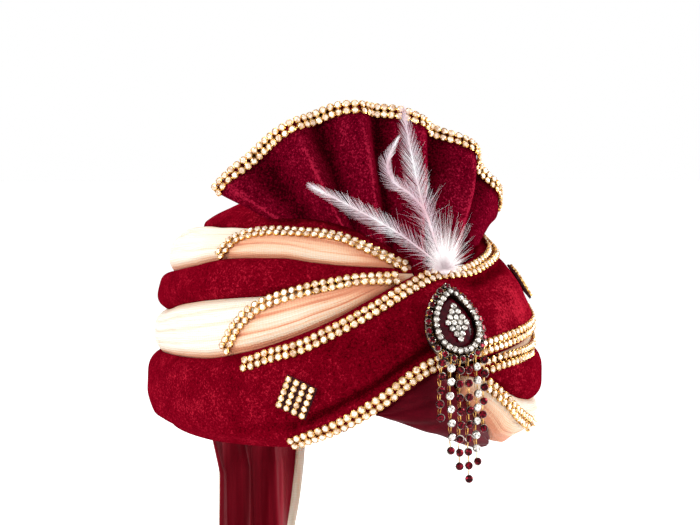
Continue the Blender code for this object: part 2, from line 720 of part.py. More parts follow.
def make_feathers():
    """Three feather blades fused to a ball of fluff that is tucked over the band's edge."""
    material = paint((0.90, 0.80, 0.80), 0.9)
    turn, height = 6.0, 0.700
    root = place(turn, height, top_of(turn, 0.66) + FLUFF_RADIUS + TRIM_THICKNESS + 3 * GAP)
    form = bmesh.new()
    bmesh.ops.create_icosphere(form, subdivisions=1, radius=FLUFF_RADIUS, matrix=Matrix.Translation(root))
    plume = add("feather_plume", form, material)
    for number, shaft in enumerate(FEATHERS):
        def spine(share, shaft=shaft):
            across, ahead, up = curve_through(shaft, share)
            return root + FEATHER_REACH * Vector((across, -ahead, up))

        def spot(along, across, through):
            here = spine(along)
            way = (spine(min(along + 0.02, 1.0)) - spine(max(along - 0.02, 0.0))).normalized()
            face = Vector((-0.35, -1.0, 0.25))
            side = way.cross(face).normalized()
            width = FEATHER_WIDTH * (0.12 + math.sin(math.pi * min(along * 0.9 + 0.12, 1.0)) ** 0.8 * 0.88)
            lift = (through - 0.5) * FEATHER_THICKNESS
            return here + side * width * (across - 0.5) + side.cross(way).normalized() * lift

        blade = slab(f"feather_{number}", 8, 2, spot, material)
        join(plume, blade)


def main():
    for old in list(bpy.data.objects):
        bpy.data.objects.remove(old, do_unlink=True)
    make_cap()
    make_crown_top()
    for fold in FOLDS:
        make_fold(fold)
    make_satin()
    for name, path in TRIM_PATHS.items():
        make_trim(name, path)
    make_fan()
    make_crest_trim()
    make_tail("tail_satin", TAIL_START, TAIL_END, TAIL_CLOTH + FOLD_GAP, (0.16, 0.004, 0.010))
    make_tail("tail_cream", TAIL_START + 4, TAIL_END + 4, 0.0, CREAM)
    brooch = make_brooch()
    make_patch("patch_right", 54.0, 0.225, -0.38)
    make_patch("patch_left", -48.0, 0.58, 0.3)
    for number, strand in enumerate(STRANDS, start=1):
        make_strand(number, strand, brooch)
    make_feathers()


main()
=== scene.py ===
"""A tied turban pagri, dressed over its CAD frame, in metres with +Z up.

The front faces -Y, and the right side as worn is -X. A place on the wound body is a turn
in degrees from the front toward that side, a height as a share of the body's height, and
a lift off its skin.
"""
import math
import random
import bmesh
import bpy
import numpy as np
from mathutils import Matrix, Vector, noise
from mathutils.bvhtree import BVHTree


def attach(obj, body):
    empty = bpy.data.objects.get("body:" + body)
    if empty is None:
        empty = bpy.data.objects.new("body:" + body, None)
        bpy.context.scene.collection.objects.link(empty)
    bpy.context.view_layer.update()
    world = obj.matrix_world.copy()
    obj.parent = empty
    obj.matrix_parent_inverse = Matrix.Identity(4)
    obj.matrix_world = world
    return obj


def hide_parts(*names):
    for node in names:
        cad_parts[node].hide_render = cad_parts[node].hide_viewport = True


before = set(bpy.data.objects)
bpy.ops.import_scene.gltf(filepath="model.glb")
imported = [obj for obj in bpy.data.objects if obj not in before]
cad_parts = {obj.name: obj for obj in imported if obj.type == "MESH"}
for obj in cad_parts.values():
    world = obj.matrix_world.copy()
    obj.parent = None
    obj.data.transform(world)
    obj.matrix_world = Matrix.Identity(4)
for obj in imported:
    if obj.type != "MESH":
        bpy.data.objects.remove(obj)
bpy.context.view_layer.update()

# The camera stands where the photograph was taken from: a little above the rim, on the
# right side of the front, with a long lens. The floor is plain and pale, and wide soft
# lights stand at the left, the right and above, under an even white sky.
scene = bpy.context.scene
camera = bpy.data.objects.new("camera", bpy.data.cameras.new("camera"))
scene.collection.objects.link(camera)
camera.location = (-0.5233, -0.6698, 0.140)
camera.rotation_mode = "QUATERNION"
aim = Vector((0.0, 0.0, 0.085)) - camera.location
camera.rotation_quaternion = aim.to_track_quat("-Z", "Y")
camera.data.lens = 78.93
camera.data.sensor_width = 36.0
camera.data.shift_x = 0.00857
camera.data.shift_y = 0.01214
camera.data.clip_start = 0.01
camera.data.clip_end = 60.0
scene.camera = camera
scene.view_settings.view_transform = "Standard"

FLOOR_LEVEL, FLOOR_HALF = -0.1012, 30
floor_mesh = bpy.data.meshes.new("floor")
floor_mesh.from_pydata(
    [(FLOOR_HALF * x, FLOOR_HALF * y, FLOOR_LEVEL) for x, y in ((-1, -1), (1, -1), (1, 1), (-1, 1))],
    [], [(0, 1, 2, 3)],
)
floor = bpy.data.objects.new("floor", floor_mesh)
scene.collection.objects.link(floor)
floor_paint = bpy.data.materials.new("floor_paint")
floor_paint.use_nodes = True
floor_shader = floor_paint.node_tree.nodes["Principled BSDF"]
floor_shader.inputs["Base Color"].default_value = (0.985, 0.985, 0.985, 1)
floor_shader.inputs["Roughness"].default_value = 0.9
floor_shader.inputs["Emission Color"].default_value = (1, 1, 1, 1)
floor_shader.inputs["Emission Strength"].default_value = 0.08
floor_mesh.materials.append(floor_paint)

sky = bpy.data.worlds.new("sky")
sky.use_nodes = True
sky.node_tree.nodes["Background"].inputs["Color"].default_value = (1.0, 1.0, 1.0, 1)
sky.node_tree.nodes["Background"].inputs["Strength"].default_value = 1.0
scene.world = sky
for name, spot, size, power in (
    ("left", (-1.45, -0.10, 0.80), 0.7, 17),
    ("right", (1.20, -0.85, 0.55), 0.7, 19),
    ("top", (0.1, 0.45, 1.30), 1.0, 6),
):
    lamp = bpy.data.lights.new(name, "AREA")
    lamp.size = size
    lamp.energy = power
    light = bpy.data.objects.new(name, lamp)
    light.location = spot
    light.rotation_mode = "QUATERNION"
    light.rotation_quaternion = (Vector((0, 0, 0.06)) - Vector(spot)).to_track_quat("-Z", "Y")
    scene.collection.objects.link(light)


# The front band is the first turn of maroon velvet over soft wadding. It starts high on
# the left, crosses the front down to the right and runs round the back, and it is sewn to
# the cap inside. Its lower edge is turned into a roll below a stitched groove.
BODY_HEIGHT = 0.135
HALF_FRONT, HALF_BACK, HALF_RIGHT, HALF_LEFT = 0.117, 0.120, 0.101, 0.099
FOLD_DEPTH = 0.0135
INNER_ROWS = 8
LAY_ROUND, LAY_RISE = 0.1, 0.03
BAND_START, BAND_END = -165, 292.5
SECTIONS = (  # height, front, back, right, left
    (0.00, 0.957, 0.958, 0.940, 0.949), (0.07, 0.983, 0.983, 0.980, 0.980),
    (0.15, 1.000, 1.000, 1.000, 1.000), (0.24, 1.000, 1.000, 1.000, 1.000),
    (0.34, 0.991, 0.992, 0.980, 0.990), (0.44, 0.957, 0.983, 0.960, 0.960),
    (0.55, 0.889, 0.975, 0.940, 0.900), (0.63, 0.821, 0.958, 0.911, 0.838),
    (0.72, 0.744, 0.933, 0.861, 0.768), (0.79, 0.675, 0.867, 0.792, 0.687),
    (0.87, 0.581, 0.750, 0.673, 0.586), (0.94, 0.427, 0.567, 0.495, 0.444),
    (0.985, 0.240, 0.317, 0.277, 0.263), (1.00, 0.000, 0.000, 0.000, 0.000),
)
BAND_FOOT = (  # turn, height
    (-165, 0.75), (-140, 0.68), (-115, 0.61), (-90, 0.55), (-60, 0.465), (-45, 0.425),
    (-31, 0.40), (-19, 0.385), (-9, 0.37), (3, 0.35), (10, 0.335), (17, 0.312), (23, 0.275),
    (27, 0.24), (31, 0.195), (35, 0.155), (41, 0.105), (46, 0.07), (51, 0.044), (58, 0.014),
    (67, 0.008), (77, 0.004), (90, 0.0), (295, 0.0),
)
BAND_HEAD = (
    (-165, 0.79), (-140, 0.87), (-115, 0.90), (-90, 0.89), (-65, 0.845), (-50, 0.80),
    (-35, 0.755), (-22, 0.73), (-12, 0.708), (-4, 0.693), (5, 0.689), (13, 0.674), (22, 0.637),
    (32, 0.585), (45, 0.504), (57, 0.437), (72, 0.37), (87, 0.33), (117, 0.31), (150, 0.28),
    (180, 0.24), (210, 0.185), (240, 0.125), (270, 0.07), (295, 0.03),
)


def follow(rows, column=1):
    """A curve through a table's column that never overshoots its rows."""
    at = np.array([row[0] for row in rows], float)
    value = np.array([row[column] for row in rows], float)
    slope = np.diff(value) / np.diff(at)
    steep = np.zeros(len(at))
    both = slope[:-1] * slope[1:]
    total = np.where(both > 0, slope[:-1] + slope[1:], 1.0)
    steep[1:-1] = np.where(both > 0, 2 * both / total, 0.0)

    def curve(where):
        """The column's values at places along the first column."""
        index = np.clip(np.searchsorted(at, where, "right") - 1, 0, len(at) - 2)
        run = at[index + 1] - at[index]
        share = np.clip((where - at[index]) / run, 0, 1)
        rise = value[index + 1] - value[index]
        first, last = steep[index] * run, steep[index + 1] * run
        bend = 3 * rise - 2 * first - last
        return value[index] + share * (first + share * (bend + share * (first + last - 2 * rise)))

    return curve


section_front, section_back, section_right, section_left = (follow(SECTIONS, c) for c in (1, 2, 3, 4))


def skin(turn, height):
    """Points of the body's skin at turns and heights."""
    turn, height = np.broadcast_arrays(np.asarray(turn, float), np.asarray(height, float))
    across, along = -np.sin(np.radians(turn)), -np.cos(np.radians(turn))
    half_x = np.where(across < 0, HALF_RIGHT * section_right(height), HALF_LEFT * section_left(height))
    half_y = np.where(along < 0, HALF_FRONT * section_front(height), HALF_BACK * section_back(height))
    return np.stack((half_x * across, half_y * along, height * BODY_HEIGHT), -1)


def outward(turn, height):
    """Directions straight off the skin."""
    height = np.minimum(height, 0.985)
    round_it = skin(turn - 1, height) - skin(turn + 1, height)
    up_it = skin(turn, height + 0.01) - skin(turn, height - 0.01)
    off = np.cross(round_it, up_it)
    return off / np.linalg.norm(off, axis=-1, keepdims=True)


def place(turn, height, lift):
    """Points lifted off the skin."""
    turn, height, lift = np.broadcast_arrays(turn, height, lift)
    return skin(turn, height) + lift[..., None] * outward(turn, height)


def ruffle(points, size, seed):
    """Smooth uneven values from -1 to 1 over points, with lumps of one size."""
    flat = (points / size).reshape(-1, 3) + seed
    return np.array([noise.noise(Vector(p)) for p in flat]).reshape(points.shape[:-1])


def groove(off, width):
    """A soft groove: 1 at its middle line, 0 outside its width."""
    return np.exp(-(off / width) ** 2)


def turn_out(form):
    """Turn the faces of a closed form outwards."""
    bmesh.ops.recalc_face_normals(form, faces=form.faces[:])
    if form.calc_volume(signed=True) < 0:
        bmesh.ops.reverse_faces(form, faces=form.faces[:])


def cloth_object(name, points, faces, depth=None, lay=None):
    """A closed mesh that faces outwards, with its painted shade and light (depth) and how its threads run."""
    mesh = bpy.data.meshes.new(name)
    mesh.from_pydata([tuple(p) for p in points], [], faces)
    form = bmesh.new()
    form.from_mesh(mesh)
    turn_out(form)
    form.to_mesh(mesh)
    form.free()
    if depth is not None:
        values = mesh.attributes.new("depth", "FLOAT", "POINT")
        values.data.foreach_set("value", np.asarray(depth, np.float32))
    if lay is not None:
        threads = mesh.attributes.new("lay", "FLOAT_VECTOR", "POINT")
        threads.data.foreach_set("vector", np.asarray(lay, np.float32).reshape(-1))
    mesh.shade_smooth()
    made = bpy.data.objects.new(name, mesh)
    scene.collection.objects.link(made)
    return made


def wound_cloth(name, start, end, foot, head, lift, columns, rows):
    """A padded strip wound on the body: fine cloth outside, closed inward to the cap."""
    turn = np.linspace(start, end, columns + 1)[:, None]
    even = np.linspace(0, 1, rows + 1)
    share = (0.55 * even + 0.45 * (0.5 - 0.5 * np.cos(np.pi * even)))[None, :]
    low, high = foot(turn), head(turn)
    height = low + (high - low) * share
    flat = 0 * height
    raised, depth = lift(turn + flat, share + flat, height)
    outer = place(turn, height, raised)
    inner_share = np.linspace(0, 1, INNER_ROWS + 1)[None, :]
    inner = place(turn, low + (high - low) * inner_share, 0.0004 - FOLD_DEPTH)
    points = np.concatenate((outer.reshape(-1, 3), inner.reshape(-1, 3)))
    width, under = rows + 1, INNER_ROWS + 1
    first = (columns + 1) * width
    faces = []
    for column in range(columns):
        a, b = column * width, (column + 1) * width
        for row in range(rows):
            faces.append((a + row, b + row, b + row + 1, a + row + 1))
        p, q = first + under * column, first + under * (column + 1)
        for row in range(INNER_ROWS):
            faces.append((p + row, p + row + 1, q + row + 1, q + row))
        faces += [(a, p, q, b), (a + rows, b + rows, q + INNER_ROWS, p + INNER_ROWS)]
    for column, turned in ((0, False), (columns, True)):
        end_cap = [column * width + row for row in range(width)]
        end_cap += [first + under * column + row for row in range(INNER_ROWS, -1, -1)]
        faces.append(tuple(reversed(end_cap)) if turned else tuple(end_cap))
    threads = np.stack((LAY_ROUND * np.radians(turn + flat), LAY_RISE * share + flat, flat), -1)
    hidden = under * (columns + 1)
    # The hidden inner side takes the full painted shade (depth 1).
    return cloth_object(
        name, points, faces,
        np.concatenate((depth.reshape(-1), np.ones(hidden))),
        np.concatenate((threads.reshape(-1, 3), np.zeros((hidden, 3)))),
    )


def padding(share, tall, crest, rim, power):
    """The lift of a padded strip from edge to edge, lower where the strip is narrow."""
    full = np.minimum(tall * BODY_HEIGHT / 0.020, 1.0)
    top = rim + (crest - rim) * full
    return top - (top - rim) * np.abs(2 * share - 1) ** power


def put(tree, kind, inputs=None, **settings):
    """A node with its settings, and its inputs as plain values or as links."""
    made = tree.nodes.new(kind)
    for key, value in settings.items():
        setattr(made, key, value)
    for key, value in (inputs or {}).items():
        if isinstance(value, bpy.types.NodeSocket):
            tree.links.new(value, made.inputs[key])
        else:
            made.inputs[key].default_value = value
    return made


def new_material(name, roughness, **plain):
    """A material with its Principled shader's plain values set on their own sockets."""
    material = bpy.data.materials.new(name)
    material.use_nodes = True
    tree = material.node_tree
    shader = tree.nodes["Principled BSDF"]
    shader.inputs["Roughness"].default_value = roughness
    for key, value in plain.items():
        shader.inputs[key.replace("_", " ").title().replace("Ior", "IOR")].default_value = value
    return material, tree, shader


def object_place(tree):
    """Where each point of a surface lies in its object."""
    return put(tree, "ShaderNodeTexCoord").outputs["Object"]


def mottle(tree, where, scale, detail, roughness=0.5):
    """Uneven values from 0 to 1 over a surface, in lumps of one scale."""
    given = {"Vector": where, "Scale": scale, "Detail": detail, "Roughness": roughness}
    return put(tree, "ShaderNodeTexNoise", given).outputs["Fac"]


def add_share(tree, value, share, base):
    """A share of one value added to another."""
    return put(tree, "ShaderNodeMath", {0: value, 1: share, 2: base}, operation="MULTIPLY_ADD").outputs[0]


def colour_by(tree, shader, value, stops):
    """Colour a surface by the stops of a ramp over a value."""
    made = put(tree, "ShaderNodeValToRGB", {"Fac": value})
    elements = made.color_ramp.elements
    while len(elements) < len(stops):
        elements.new(0.5)
    for element, (at, colour) in zip(elements, stops):
        element.position = at
        element.color = (*colour, 1)
    tree.links.new(made.outputs["Color"], shader.inputs["Base Color"])


def relief_by(tree, shader, height, strength, distance):
    """Fine relief on a surface from a value."""
    made = put(tree, "ShaderNodeBump", {"Height": height, "Strength": strength, "Distance": distance})
    tree.links.new(made.outputs["Normal"], shader.inputs["Normal"])


def velvet(name, dark, body, bright, crush=0.40):
    """Velvet: crushed patches lie light or dark, single tufts catch the light, and the edge glows."""
    material, tree, shader = new_material(
        name, 0.85, specular_ior_level=0.0, sheen_weight=0.10, sheen_roughness=0.35,
        sheen_tint=(1.0, 0.01, 0.06, 1),
    )
    where = object_place(tree)
    painted_shade_and_light = put(tree, "ShaderNodeAttribute", attribute_name="depth").outputs["Fac"]
    patches = mottle(tree, where, 70.0, 7.0, 0.75)
    tufts = mottle(tree, where, 850.0, 2.0, 0.9)
    pile = mottle(tree, where, 2600.0, 1.0)
    crushed = put(tree, "ShaderNodeMath", {0: patches, 1: crush}, operation="MULTIPLY").outputs[0]
    # The depth attribute is painted shade where it is above zero and painted light where it is below zero.
    shaded = add_share(tree, painted_shade_and_light, -0.09, add_share(tree, tufts, 1 - crush, crushed))
    colour_by(tree, shader, shaded, ((0.34, dark), (0.48, body), (0.53, body), (0.64, bright)))
    relief_by(tree, shader, add_share(tree, tufts, 1.6, pile), 0.55, 0.0006)
    return material


maroon_velvet = velvet("maroon_velvet", (0.036, 0.0, 0.0012), (0.118, 0.0002, 0.0048), (0.36, 0.010, 0.026))
band_foot, band_head = follow(BAND_FOOT), follow(BAND_HEAD)
roll_groove = follow((
    (12, 0.425), (19, 0.395), (26, 0.345), (36, 0.255), (45, 0.185), (56, 0.115), (75, 0.085), (100, 0.07),
))
upper_groove = follow((
    (-165, 0.76), (-90, 0.80), (-50, 0.71), (-35, 0.665), (-22, 0.648), (-11, 0.630), (0, 0.615),
))


def band_lift(turn, share, height):
    """The band: crowned, grooved along its rolled edge, and pressed flat at the rim and its end."""
    tall = band_head(turn) - band_foot(turn)
    lift = padding(share, tall, 0.0024, -0.0035, 4)
    rim = np.clip(1 - height / 0.06, 0, 1) * (share < 0.5)
    tucked = np.clip((turn - 262) / 30, 0, 1) ** 1.5
    lift = lift - 0.0016 * rim - 0.0052 * tucked
    low_fade = np.clip((turn - 8) / 8, 0, 1) * np.clip((74 - turn) / 26, 0, 1)
    high_fade = np.clip((4 - turn) / 8, 0, 1)
    off_low = (height - roll_groove(turn)) * BODY_HEIGHT
    off_high = (height - upper_groove(turn)) * BODY_HEIGHT
    lift = lift - 0.0030 * low_fade * groove(off_low, 0.0020)
    lift = lift + 0.0014 * low_fade * groove(off_low + 0.006, 0.004)
    lift = lift - 0.0030 * high_fade * groove(off_high, 0.0024)
    lift = lift + 0.0010 * high_fade * groove(off_high - 0.006, 0.004)
    base = skin(turn, height)
    soft = 0.0010 * ruffle(base, 0.030, 3.1) + 0.0005 * ruffle(base, 0.011, 8.4)
    inside = 1 - np.abs(2 * share - 1) ** 3
    # The depth is painted shade in the grooves and on a patch right of the front's middle, and painted light
    # (below zero) on a patch at the left of the front.
    depth = 1.7 * low_fade * groove(off_low, 0.0024) + 1.6 * high_fade * groove(off_high, 0.003)
    painted_light_patch = np.exp(-((turn + 22) / 19) ** 2 - ((height - 0.52) / 0.10) ** 2)
    painted_shade_patch = np.exp(-((turn - 28) / 20) ** 2 - ((height - 0.42) / 0.16) ** 2)
    return lift + soft * inside, depth - 1.0 * painted_light_patch + 0.70 * painted_shade_patch


front_band = wound_cloth("velvet_front_band", BAND_START, BAND_END, band_foot, band_head, band_lift, 300, 40)
front_band.data.materials.append(maroon_velvet)
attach(front_band, "root")
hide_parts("front_band")

# Above the band a second velvet fold runs between two folds of cream gauze, all wound the
# same way round. The gauze is loose woven and thin, gathered lengthwise into many small
# pleats, and painted peach as shade in its valleys, along its edges and under the trims.
FOLD_START, LOWER_END, UPPER_END = 15, 367.5, 352.5
LOWER_HEAD = (
    (15, 0.680), (22, 0.682), (40, 0.645), (56, 0.607), (66, 0.585), (77, 0.57), (90, 0.548),
    (103, 0.52), (119, 0.48), (150, 0.455), (180, 0.43), (210, 0.36), (240, 0.28), (270, 0.20),
    (300, 0.155), (320, 0.14), (339, 0.17), (348, 0.207), (355, 0.25), (365, 0.289), (372, 0.30),
)
MIDDLE_HEAD = (
    (15, 0.694), (23, 0.702), (30, 0.705), (39, 0.71), (49, 0.72), (60, 0.733), (72, 0.73),
    (85, 0.72), (101, 0.68), (116, 0.65), (150, 0.61), (180, 0.57), (210, 0.51), (240, 0.44),
    (270, 0.39), (300, 0.36), (331, 0.345), (345, 0.345), (355, 0.342), (360, 0.338), (368, 0.325),
)
UPPER_HEAD = (
    (15, 0.712), (22, 0.745), (30, 0.785), (39, 0.82), (51, 0.84), (72, 0.845), (90, 0.845),
    (120, 0.84), (150, 0.815), (180, 0.77), (195, 0.75),
)
LOWER_FOOT = (
    (295, 0.0), (300, 0.0), (333, 0.012), (342, 0.0), (352, 0.03), (356, 0.075), (364, 0.18),
    (368, 0.225),
)
FOLD_LOWER_TRIM = (
    (20.5, 0.655), (27, 0.653), (34, 0.648), (43, 0.63), (53, 0.60), (59, 0.578), (65, 0.548),
    (70, 0.504), (74, 0.452), (79, 0.368),
)
FOLD_UPPER_TRIM = (
    (16.0, 0.700), (22, 0.728), (30, 0.763), (39, 0.798), (51, 0.815), (62, 0.82), (72, 0.812),
    (79, 0.796), (83, 0.77), (86, 0.742), (88, 0.717),
)
lower_start, lower_head = follow(LOWER_FOOT), follow(LOWER_HEAD)
middle_head, upper_start = follow(MIDDLE_HEAD), follow(UPPER_HEAD)


def lower_foot(turn):
    """The lower fold starts on the band and ends on the rim."""
    return np.where(turn < 295, band_head(turn), lower_start(turn))


def upper_head(turn):
    """The upper fold's upper edge runs in under the start of the band."""
    return np.where(turn < 195, upper_start(turn), band_foot(turn - 360) - 0.003)


def gauze_lift(head, foot, trim, pleats, seed, trim_shade):
    """A gathered fold: round crests between narrow valleys, which wander and end unevenly."""
    trim_line = follow(trim)

    def lift(turn, share, height):
        """How far the fold stands off the skin, and how much painted shade its cloth takes."""
        tall = head(turn) - foot(turn)
        base = skin(turn, height)
        full = np.minimum(tall * BODY_HEIGHT / 0.022, 1.0)
        wander = 0.16 * np.sin(turn / 19 + seed) + 0.10 * np.sin(turn / 7.3 + 2.1 * seed)
        line = pleats * share + wander * (0.4 + share) + 0.35 * ruffle(base, 0.040, seed)
        crease = (1 - np.abs(np.sin(np.pi * line))) ** 3
        fine = (1 - np.abs(np.sin(np.pi * (2.6 * line + 0.3 * seed)))) ** 4
        keep = 0.45 + 0.55 * ruffle(base * np.array([1, 1, 3]), 0.050, seed + 5)
        inside = 1 - np.abs(2 * share - 1) ** 6
        calm = np.clip((turn - 330) / 20, 0, 1)
        pleat_depth_and_shade = np.clip(0.2 + 1.3 * keep, 0.0, 1.0) * crease * (1 - 0.6 * calm)
        value = padding(share, tall, 0.0008, -0.0050, 3)
        value = value - (0.0012 * pleat_depth_and_shade + 0.0003 * fine) * full * inside
        value = value + 0.0008 * ruffle(base, 0.016, seed + 9)
        low_edge = np.clip(1 - share / 0.16, 0, 1) ** 1.5
        beside = (turn > trim[0][0] - 2) & (turn < trim[-1][0])
        under = np.where(beside, trim_line(turn) - height, 9.0) * BODY_HEIGHT
        # The depth is painted shade: peach in the pleats' valleys, along the lower edge and at both edges,
        # where the fold is narrow, just below each trim, across the cloth below each trim as far as
        # trim_shade sets, and at the lower fold's end.
        depth = 0.24 * pleat_depth_and_shade + 0.08 * fine + 0.6 * low_edge + 0.4 * np.abs(2 * share - 1) ** 6
        between = trim_shade * np.clip(under / 0.004, 0, 1) * (under < 1)
        depth = depth + between * (0.12 + 0.42 * pleat_depth_and_shade + 0.16 * fine)
        depth = depth + 0.50 * groove(under - 0.0030, 0.0045) + 0.45 * (1 - full)
        depth = np.clip(depth + 0.55 * calm * np.clip(1.3 - 1.4 * share, 0, 1), 0, 1)
        rim = np.clip(1 - height / 0.06, 0, 1) * (share < 0.5)
        return value - 0.0016 * rim, depth

    return lift


def velvet_lift(turn, share, height):
    """The velvet between the gauze folds: crowned, and a little uneven over its wadding."""
    tall = middle_head(turn) - lower_head(turn)
    base = skin(turn, height)
    lift = padding(share, tall, 0.0010, -0.0050, 4)
    inside = 1 - np.abs(2 * share - 1) ** 3
    soft = 0.0008 * ruffle(base, 0.026, 5.7) + 0.0004 * ruffle(base, 0.009, 1.3)
    return lift + soft * inside, 0 * share


def threads_along(tree, where, along, scale, bend, detail=2.0):
    """Even threads that run one way, as values from 0 to 1."""
    given = {"Vector": where, "Scale": scale, "Distortion": bend, "Detail": detail}
    return put(tree, "ShaderNodeTexWave", given, bands_direction=along).outputs["Fac"]


def gauze(name):
    """Cream gauze: a fine open weave, pale on the crests and peach where the depth attribute paints shade."""
    material, tree, shader = new_material(
        name, 0.62, specular_ior_level=0.15, sheen_weight=0.12, sheen_roughness=0.4,
        sheen_tint=(1.0, 0.93, 0.85, 1), subsurface_weight=0.18, subsurface_scale=0.004,
    )
    shader.inputs["Subsurface Radius"].default_value = (1.0, 0.45, 0.30)
    lay = put(tree, "ShaderNodeAttribute", attribute_name="lay").outputs["Vector"]
    pleat_depth_and_shade = put(tree, "ShaderNodeAttribute", attribute_name="depth").outputs["Fac"]
    weft = threads_along(tree, lay, "Y", 260.0, 4.0, 3.0)
    warp = threads_along(tree, lay, "X", 200.0, 5.0, 3.0)
    weave = add_share(tree, warp, 0.6, weft)
    streaks = put(tree, "ShaderNodeMapping", {"Vector": lay, "Scale": (14, 520, 1)}).outputs[0]
    thin = mottle(tree, streaks, 1.0, 4.0, 0.65)
    colour_by(tree, shader, add_share(tree, thin, 0.60, add_share(tree, weave, -0.14, pleat_depth_and_shade)), (
        (0.04, (0.78, 0.74, 0.66)), (0.24, (0.67, 0.60, 0.50)), (0.45, (0.62, 0.49, 0.37)),
        (0.70, (0.64, 0.37, 0.23)), (1.0, (0.52, 0.20, 0.11)),
    ))
    relief_by(tree, shader, weave, 0.45, 0.0003)
    return material


cream_gauze = gauze("cream_gauze")
lower_lift = gauze_lift(lower_head, lower_foot, FOLD_LOWER_TRIM, 4.0, 1.7, 1.5)
upper_lift = gauze_lift(upper_head, middle_head, FOLD_UPPER_TRIM, 3.0, 4.2, 0.3)
folds = []
for name, node, end, foot, head, lift, columns, rows, finish, slot, fill in (
    ("gauze_fold_lower", "cream_fold_lower", LOWER_END, lower_foot, lower_head, lower_lift,
     250, 56, cream_gauze, "cream_gauze", 0.5),
    ("velvet_fold_middle", "maroon_fold", LOWER_END, lower_head, middle_head, velvet_lift,
     250, 26, maroon_velvet, "maroon_velvet", 0.6),
    ("gauze_fold_upper", "cream_fold_upper", UPPER_END, middle_head, upper_head, upper_lift,
     240, 44, cream_gauze, "cream_gauze", 0.5),
):
    fold = wound_cloth(name, FOLD_START, end, foot, head, lift, columns, rows)
    fold.data.materials.append(finish)
    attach(fold, "root")
    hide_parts(node)
    folds.append(fold)

# The forehead panel is maroon satin, laid flat under the arch of the band where it
# shows between the band and the lower gauze fold. It is pulled in small slanting creases.
SATIN_FOOT = ((-9, 0.0), (-4, 0.0), (5, 0.015), (19, 0.075), (29, 0.125), (34, 0.152))
SATIN_LEVEL, SATIN_EARLY = -0.0058, 7.5
satin_foot = follow(SATIN_FOOT)


def satin_head(turn):
    """The panel's upper edge, tucked under the lower gauze fold and then under the band."""
    over = np.clip((turn - SATIN_EARLY) / SATIN_EARLY, 0, 1)
    early = (1 - over) * lower_start(np.minimum(turn, SATIN_EARLY) + 360) + over * band_foot(turn)
    return np.where(turn > 15, band_foot(turn), early) - 0.004


def satin_lift(turn, share, height):
    """The satin lies flat, below the folds, in sharp slanting creases."""
    base = skin(turn, height)
    crease = (1 - np.abs(np.sin(2.4 * np.pi * share + turn / 9.0))) ** 3
    lift = SATIN_LEVEL - 0.0015 * np.abs(2 * share - 1) ** 4 - 0.0007 * crease
    return lift + 0.0004 * ruffle(base, 0.012, 2.2), 0.6 * crease


def satin(name, dark, body, bright, scale):
    """Satin: a close weave with long soft streaks, and a low broad gloss across the threads."""
    material, tree, shader = new_material(
        name, 0.40, specular_ior_level=0.30, specular_tint=(1.0, 0.06, 0.10, 1), anisotropic=0.5,
        sheen_weight=0.04, sheen_tint=(1.0, 0.1, 0.15, 1),
    )
    run = put(tree, "ShaderNodeMapping", {"Vector": object_place(tree), "Scale": scale}).outputs[0]
    # The streaks are partly tone in the weave and partly painted highlight.
    streaks = mottle(tree, run, 1.0, 4.0, 0.6)
    colour_by(tree, shader, streaks, ((0.30, dark), (0.55, body), (0.78, bright)))
    relief_by(tree, shader, mottle(tree, run, 14.0, 2.0), 0.25, 0.0003)
    return material


# The forehead satin is the tail's satin coloured darker: painted shade under the arch of the band.
forehead_satin_shaded = satin(
    "forehead_satin_painted_shade", (0.018, 0.0, 0.0015), (0.055, 0.0008, 0.0045), (0.12, 0.004, 0.012),
    (60, 60, 160),
)
forehead = wound_cloth("satin_forehead", -7.5, 33.7, satin_foot, satin_head, satin_lift, 60, 22)
forehead.data.materials.append(forehead_satin_shaded)
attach(forehead, "root")
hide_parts("forehead_satin")

# The crown is closed by velvet over thick wadding, gathered into soft rays that run in
# under the fan. Inside it a stiff cap of lining cloth carries everything: its gores meet
# at the top, and a ribbed band is stitched round inside the rim.
CROWN_LAP = 0.006


def crown_foot(turn):
    """The crown starts just above whatever fold is uppermost."""
    turn = (turn - BAND_START) % 360 + BAND_START
    return np.where(turn < FOLD_START, band_head(turn), upper_head(turn)) + CROWN_LAP


def shell(name, foot, lift, wall, columns, rows):
    """A dome over the head: an outer skin to the middle of the crown, with a wall inside it."""
    turn = np.linspace(-180, 180, columns + 1)[:-1, None]
    rise = np.sin(np.linspace(0, 1, rows + 1) * np.pi / 2)[None, :-1]
    low = foot(turn)
    height = low + (1 - low) * rise
    flat = 0 * height
    value = lift(turn + flat, rise + flat, height)
    faces = []
    sides = (value, value - wall)
    points = np.concatenate([place(turn, height, side).reshape(-1, 3) for side in sides])
    count = columns * rows
    tops = [np.array([[0.0, 0.0, BODY_HEIGHT + float(side[:, -1].mean())]]) for side in sides]
    points = np.concatenate((points, *tops))
    for side in (0, 1):
        for column in range(columns):
            a = side * count + column * rows
            b = side * count + (column + 1) % columns * rows
            for row in range(rows - 1):
                quad = (a + row, b + row, b + row + 1, a + row + 1)
                faces.append(quad if side else tuple(reversed(quad)))
            cap = (a + rows - 1, b + rows - 1, 2 * count + side)
            faces.append(cap if side else tuple(reversed(cap)))
    for column in range(columns):
        a, b = column * rows, (column + 1) % columns * rows
        faces.append((a, b, count + b, count + a))
    return cloth_object(name, points, faces)


def crown_lift(turn, rise, height):
    """The crown's soft rays, pulled in along its foot."""
    base = skin(turn, height)
    rays = np.abs(np.sin(np.radians(turn * 9 + 20 * np.sin(np.radians(3 * turn)))))
    fade = np.clip(1 - rise, 0, 1) ** 0.5 * np.clip(rise * 8, 0, 1)
    pulled = 0.002 * (1 - np.clip(rise * 9, 0, 1)) ** 2
    return -0.0036 - 0.0020 * (1 - rays) ** 2 * fade + 0.0012 * ruffle(base, 0.022, 6.3) - pulled


